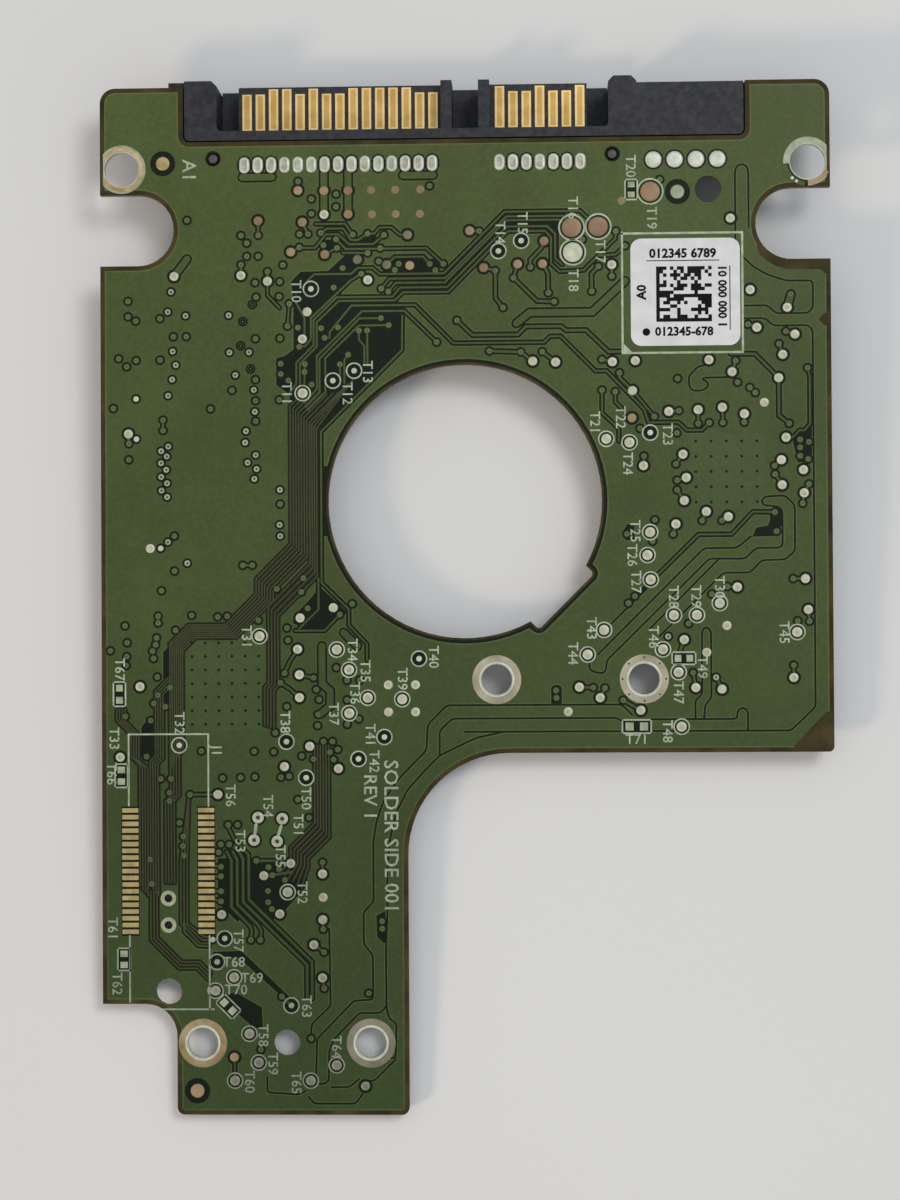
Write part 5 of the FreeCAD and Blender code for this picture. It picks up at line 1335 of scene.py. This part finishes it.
def make_large_pads():
    """Sighting dots, large test pads and the tinned rims of small holes."""
    sight = dome(SIGHT_RADIUS, DOT_LEVEL)
    gold_place, tin_place, copper_place = SIGHT_DOTS
    make_dots("gold_sighting_dot", [gold_place], sight, pad_gold, "bare_gold", sides=24)
    make_dots("tinned_sighting_dot", [tin_place], sight, dull_tin, "tinned_copper", sides=24)
    make_dots("copper_sighting_dot", [copper_place], sight, bare_copper, "tinned_copper", sides=24)
    large = dome(LARGE_RADIUS, SWOLLEN_LEVEL, PAD_DIMPLE)
    make_dots("large_copper_pads", LARGE_COPPER_PADS, large, bare_copper, "tinned_copper", sides=28)
    make_dots("large_tinned_pad", LARGE_TIN_PADS, large, tinned_pad, "tinned_copper", sides=28)
    probe_rim = washer(*PROBE_RIM, DOT_LEVEL)
    probe_floor = dome(PROBE_FLOOR, PROBE_FLOOR_LEVEL)
    make_dots("probe_hole_rims", PROBE_HOLES, probe_rim, tinned_pad, "tinned_copper", sides=20)
    # The floors are dark domes, painted shade in the probe holes
    make_dots("probe_hole_floors", PROBE_HOLES, probe_floor, painted_hole_shade, "solder_mask", sides=14)
    lead_rim = washer(*LEAD_RIM, DOT_LEVEL)
    make_dots("lead_hole_rims", LEAD_HOLES, lead_rim, dull_tin, "tinned_copper", sides=24)


def make_peg_tips():
    """Rounded ends of the plug's pegs, a little below the board's face, painted lighter grey as a highlight.
    """
    profile = [(radius, height - PEG_DROP) for radius, height in dome(*PEG_SIZE)]
    make_dots("peg_tips", PEGS, profile, peg_highlight_plastic, "connector_plastic", sides=20)


# Shares of a footprint's length: how far its pads lie from the middle, and how long they are
PAD_OFFSET = 0.25
PAD_LENGTH = 0.28

# How much narrower than its footprint a pad is
PAD_INSET = 0.5


def make_footprints():
    """Pairs of tinned pads left empty."""
    pads = []
    for x, d, length, width, turn in FOOTPRINTS:
        offset = facing(math.radians(turn)) * (length * PAD_OFFSET * MM)
        for side in (-1, 1):
            pads.append(box_of(spot(x, d) + offset * side, length * PAD_LENGTH, width - PAD_INSET, turn))
    settle(slabs("empty_pads", pads, 0, DOT_LEVEL), "tinned_copper", dull_tin)


def make_solder_joints():
    """Domed joints over the plug's tails and the jumper block's pins, in place of the plain solids."""
    width, length = JOINT_SIZE
    stretch = (length - width) / 2 * MM
    for name, row in (("power_solder_joints", POWER_JOINTS), ("signal_solder_joints", SIGNAL_JOINTS)):
        master = turned(dome(width / 2, JOINT_RISE, JOINT_DIMPLE), 20, (JOINT_CORE,))
        for vert in master.data.vertices:
            if abs(vert.co.y) > NODE_WELD:
                vert.co.y += math.copysign(stretch, vert.co.y)
        piece = stamped(name.replace("solder", "domed"), master, joint_places(row))
        settle(piece, "solder", bright_solder, joint_core)
        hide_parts(name)
    jumper = dome(JUMPER_RADIUS, JUMPER_RISE)
    piece = make_dots("domed_jumper_pads", JUMPER_PADS, jumper, bright_solder, "solder", sides=28)
    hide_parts("jumper_pads")


def make_barrels():
    """Plated barrels in the screw holes, and the bright lips of the lower ones."""
    for name, places, radius in (("top_hole_barrels", TOP_HOLES, TOP_RADIUS),
                                 ("hole_barrels", LOW_HOLES, LOW_RADIUS)):
        inner = radius - BARREL_WALL
        inside = [(inner, BARREL_RISE), (inner, -BOARD_DEPTH)]
        outside = [(radius, -BOARD_DEPTH), (radius, BARREL_RISE)]
        make_dots(name, places, inside + outside + inside[:1], bright_solder, "tinned_copper", sides=48)
    lip = washer(LIP_OUTER, LIP_INNER, LIP_RISE)
    make_dots("ring_lips", LOW_HOLES, lip, bright_solder, "tinned_copper", sides=48)


def make_ring_wear():
    """Dark studs painted as the shade of small holes, stains and worn parts of the screw rings, and two
    stray beads of solder.
    """
    x, d = STUD_HOLE
    turns = [2 * math.pi * step / STUD_COUNT for step in range(STUD_COUNT)]
    studs = [(x + STUD_CIRCLE * math.cos(turn), d + STUD_CIRCLE * math.sin(turn)) for turn in turns]
    # Studs: painted shade standing for small holes round the ring
    make_dots("ring_studs", studs, dome(*STUD_SIZE), painted_hole_shade, "solder_mask", sides=8)
    for name, marks, level, slot, finish in (
            ("ring_stains", RING_STAINS, WEAR_LEVEL, "tinned_copper", stained_tin),
            ("lost_tin", LOST_TIN, WEAR_LEVEL, "solder_mask", mask_over_laminate),
            ("crept_mask", CREPT_MASK, CREPT_LEVEL, "solder_mask", mask_over_copper),
            ("worn_corner", WORN_CORNER, WEAR_LEVEL, "tinned_copper", bare_copper)):
        settle(slabs(name, [sector(*mark) for mark in marks], 0, level), slot, finish)
    make_dots("solder_beads", SOLDER_BEADS, dome(*BEAD_SIZE), bright_solder, "solder", sides=12)


def make_contact_faces():
    """Darker gold stripe down the middle of each contact, which leaves its edges brighter."""
    rear = PLUG_EDGE - CONTACT_REAR * MM
    for name, row in (("power_contacts", POWER_JOINTS), ("signal_contacts", SIGNAL_JOINTS)):
        corners = [vert.co for vert in nodes[name].data.vertices]
        stripes = []
        for x, _ in joint_places(row):
            front = max(corner.y for corner in corners if abs(corner.x - x * MM) < CONTACT_REACH * MM)
            middle = Vector((x * MM, (front + rear) / 2))
            stripes.append(box_of(middle, STRIPE_WIDTH, (front - rear) / MM - STRIPE_SHORT))
        top = max(corner.z for corner in corners if corner.y > PLUG_EDGE - CONTACT_FRONT * MM)
        level = (top - FACE) / MM
        stripe_name = name.replace("contacts", "contact_faces")
        piece = slabs(stripe_name, stripes, level - STRIPE_SINK, level + STRIPE_RISE)
        settle(piece, "gold_plating", darker_contact_gold)


def make_ink():
    """White printing: rings, lines and the boxes round footprints."""
    lines = [strip(path_of(places), width) for width, places in INK_LINES]
    for x, d, length, width, turn in FOOTPRINTS:
        lines += box_lines(box_of(spot(x, d), length, width, turn))
    lines += [path_of(corners) for corners in INK_PATCHES]
    settle(slabs("ink_lines", lines, 0, INK_LEVEL), "label_paper", white_ink)
    ring = washer(*INK_RING, INK_LEVEL)
    make_dots("ink_rings", RINGED_DOTS + RINGED_POINTS, ring, white_ink, "label_paper", sides=24)
    pads = LARGE_COPPER_PADS + LARGE_TIN_PADS
    large_ring = washer(*LARGE_INK_RING, LARGE_INK_LEVEL)
    make_dots("large_ink_rings", pads, large_ring, white_ink, "label_paper", sides=32)


# Lettering: share of a font's size that a capital takes up, then depth, steps of a curve and weights
CAPITAL_SHARE = 0.69
LETTER_DEPTH = 0.006
LETTER_STEPS = 2
PRINT_WEIGHT = 0.008
LABEL_WEIGHT = 0.036


def word_mesh(text, weight):
    """A word as thin solid letters."""
    bpy.ops.object.select_all(action="DESELECT")
    bpy.ops.object.text_add()
    word = bpy.context.object
    word.data.body = text
    word.data.align_x = "CENTER"
    word.data.align_y = "CENTER"
    word.data.resolution_u = LETTER_STEPS
    word.data.extrude = LETTER_DEPTH
    word.data.offset = weight
    bpy.ops.object.convert(target="MESH")
    return word


def lettering(name, words, base, weight, finish, slot):
    """One piece made of words, each at its place, height and turn."""
    letters = []
    for text, x, d, height, turn in words:
        word = word_mesh(text, weight)
        place = Matrix.Translation((*spot(x, d), FACE + base * MM))
        spin = Matrix.Rotation(math.radians(turn), 4, "Z")
        word.data.transform(place @ spin @ Matrix.Scale(height * MM / CAPITAL_SHARE, 4))
        letters.append(word)
    only(letters[0])
    for word in letters:
        word.select_set(True)
    bpy.ops.object.join()
    bpy.ops.object.mode_set(mode="EDIT")
    close_up(weld=True)
    letters[0].name = name
    settle(letters[0], slot, finish)


def make_lettering():
    """Running numbers of the test points, and the board's own plain words."""
    places = [(x, d, DOWN_TURN) for x, d in DOWN_MARKS] + [(x, d, 0) for x, d in ACROSS_MARKS]
    words = [(f"T{number}", x, d, MARK_HEIGHT, turn)
             for number, (x, d, turn) in enumerate(places, FIRST_MARK)]
    lettering("ink_lettering", words + BOARD_WORDS, INK_LEVEL, PRINT_WEIGHT, white_ink, "label_paper")


def bare_below(place):
    """Whether no part sits on the component side at a place or a millimetre round it."""
    parts = [node for name, node in nodes.items() if name != "circuit_board" and node.visible_get()]
    for x, y in ((0, 0), (-1, 0), (1, 0), (0, -1), (0, 1)):
        start = Vector((*spot(*place), board_low.z)) + Vector((x, y, 0)) * MM
        if any(part.ray_cast(start, (0, 0, -1))[0] for part in parts):
            return False
    return True


def make_underside():
    """The component side: the same vias coming through, screw rings and outlines round the chips."""
    vias = [place for place in VIAS + BRIGHT_VIAS + OPEN_VIAS if bare_below(place)]
    dots = [place for place in TIN_DOTS[::2] if bare_below(place)]
    make_via("under_vias", vias, mask_over_copper, via_eye, "solder_mask", TENT_RISE, under=True)
    ring = washer(UNDER_RING_RADIUS, LOW_RADIUS, DOT_LEVEL)
    make_dots("under_rings", LOW_HOLES, ring, ring_tin, "tinned_copper", sides=40, under=True)
    dot = dome(DOT_RADIUS, DOT_LEVEL)
    make_dots("under_dots", dots, dot, tinned_pad, "tinned_copper", sides=12, under=True)
    lines = []
    for name in OUTLINED_CHIPS:
        low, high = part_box(name)
        size = (high - low) / MM
        corners = box_of(((low + high) / 2).xy, size.x + OUTLINE_ROOM, size.y + OUTLINE_ROOM)
        lines += box_lines(corners)
        lines.append(ring_of(corners[0] + Vector(CORNER_DOT) * MM, CORNER_DOT_RADIUS))
    settle(slabs("under_ink", lines, -BOARD_DEPTH - INK_LEVEL, -BOARD_DEPTH), "label_paper", white_ink)


# Heights of the label's print over and under its face
LABEL_WORD_RISE = 0.004
PATTERN_SINK = 0.01
PATTERN_RISE = 0.006


def make_label_print():
    """Counting digits and a made-up square pattern that holds no data."""
    base = (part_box("paper_label")[1].z - FACE) / MM
    lettering("label_words", LABEL_WORDS, base + LABEL_WORD_RISE, LABEL_WEIGHT, label_ink, "label_paper")
    seeded = random.Random(CODE_SEED)
    left, top = CODE_CORNER
    side = CODE_CELL * CODE_OVERLAP
    cells = []
    for row in range(CODE_CELLS):
        for column in range(CODE_CELLS):
            solid = column == 0 or row == CODE_CELLS - 1
            if solid or seeded.random() < CODE_SHARE:
                centre = spot(left + (column + 0.5) * CODE_CELL, top + (row + 0.5) * CODE_CELL)
                cells.append(box_of(centre, side, side))
    cells += [strip(path_of(places), LABEL_RULE) for places in LABEL_RULES]
    cells.append(ring_of(spot(*LABEL_DOT), LABEL_DOT_RADIUS, 20))
    settle(slabs("label_pattern", cells, base - PATTERN_SINK, base + PATTERN_RISE), "label_paper", label_ink)


# Stage: the slope that the board rests at on its plug and its parts, and the floor's side in metres
REST_SLOPE = 0.0443
FLOOR_SIZE = 3.0

# Light: strength of the room from below to above, and each lamp's place, size, watts and colour
ROOM_TINT = (0.9, 0.95, 1.0, 1.0)
ROOM_STRENGTH = (0.1, 0.85)
LAMPS = {
    "warm_lamp": ((-0.7, -0.45, 0.5), 0.17, 2.94, (1.0, 0.78, 0.58)),
    "cool_window": ((0.3, 0.27, 0.62), 0.28, 1.8, (0.96, 0.98, 1.0)),
}

# Camera: where it stands over the board's face in millimetres, and which way it looks
FOCAL_PIXELS = 2544
IMAGE_HEIGHT = 1200
FILM_HEIGHT = 36.0
CAMERA_PLACE = (7.57, 52.36, 239.13)
CAMERA_LOOK = Vector((-0.0377, 0.0153, -0.9992))
CAMERA_RIGHT = Vector((0.9993, -0.0058, -0.0378))


def make_floor():
    """A pale table top, set to the slope of the board at rest."""
    plug_low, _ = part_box("connector_housing")
    bpy.ops.object.select_all(action="DESELECT")
    bpy.ops.mesh.primitive_plane_add(size=FLOOR_SIZE)
    floor = bpy.context.object
    floor.name = "table_top"
    tilt = Matrix.Rotation(-math.atan(REST_SLOPE), 4, "X")
    floor.data.transform(Matrix.Translation((0, plug_low.y, 0)) @ tilt)
    floor.data.materials.append(table_paper)


def make_room():
    """Soft light from all round, brighter from above."""
    world = bpy.data.worlds.new("soft_room")
    world.use_nodes = True
    tree = world.node_tree
    background = tree.nodes["Background"]
    background.inputs["Color"].default_value = ROOM_TINT
    direction = tree.nodes.new("ShaderNodeTexCoord")
    split = tree.nodes.new("ShaderNodeSeparateXYZ")
    ceiling = tree.nodes.new("ShaderNodeMapRange")
    ceiling.inputs["To Min"].default_value, ceiling.inputs["To Max"].default_value = ROOM_STRENGTH
    tree.links.new(direction.outputs["Generated"], split.inputs["Vector"])
    tree.links.new(split.outputs["Z"], ceiling.inputs["Value"])
    tree.links.new(ceiling.outputs["Result"], background.inputs["Strength"])
    bpy.context.scene.world = world


def make_lamps():
    """A warm lamp from the lower left and a cool window from the upper right, both aimed at the board."""
    for name, (place, size, energy, colour) in LAMPS.items():
        light = bpy.data.lights.new(name, "AREA")
        light.shape = "DISK"
        light.size = size
        light.energy = energy
        light.color = colour
        lamp = bpy.data.objects.new(name, light)
        lamp.location = place
        lamp.rotation_euler = (-Vector(place)).to_track_quat("-Z", "Y").to_euler()
        bpy.context.scene.collection.objects.link(lamp)


def make_camera():
    """The view down onto the board's face."""
    camera = bpy.data.cameras.new("camera")
    camera.sensor_fit = "VERTICAL"
    camera.sensor_height = FILM_HEIGHT
    camera.lens = FOCAL_PIXELS * FILM_HEIGHT / IMAGE_HEIGHT
    holder = bpy.data.objects.new("camera", camera)
    back = -CAMERA_LOOK.normalized()
    up = back.cross(CAMERA_RIGHT).normalized()
    right = up.cross(back)
    turn = Matrix((right, up, back)).transposed().to_4x4()
    x, d, height = CAMERA_PLACE
    holder.matrix_world = Matrix.Translation((*spot(x, d), FACE + height * MM)) @ turn
    bpy.context.scene.collection.objects.link(holder)
    bpy.context.scene.camera = holder


dress_nodes()
make_solder_mask()
make_vias()
make_test_dots()
make_large_pads()
make_peg_tips()
make_footprints()
make_solder_joints()
make_barrels()
make_ring_wear()
make_contact_faces()
make_ink()
make_lettering()
make_underside()
make_label_print()
make_floor()
make_room()
make_lamps()
make_camera()
bpy.context.scene.view_settings.view_transform = "Standard"
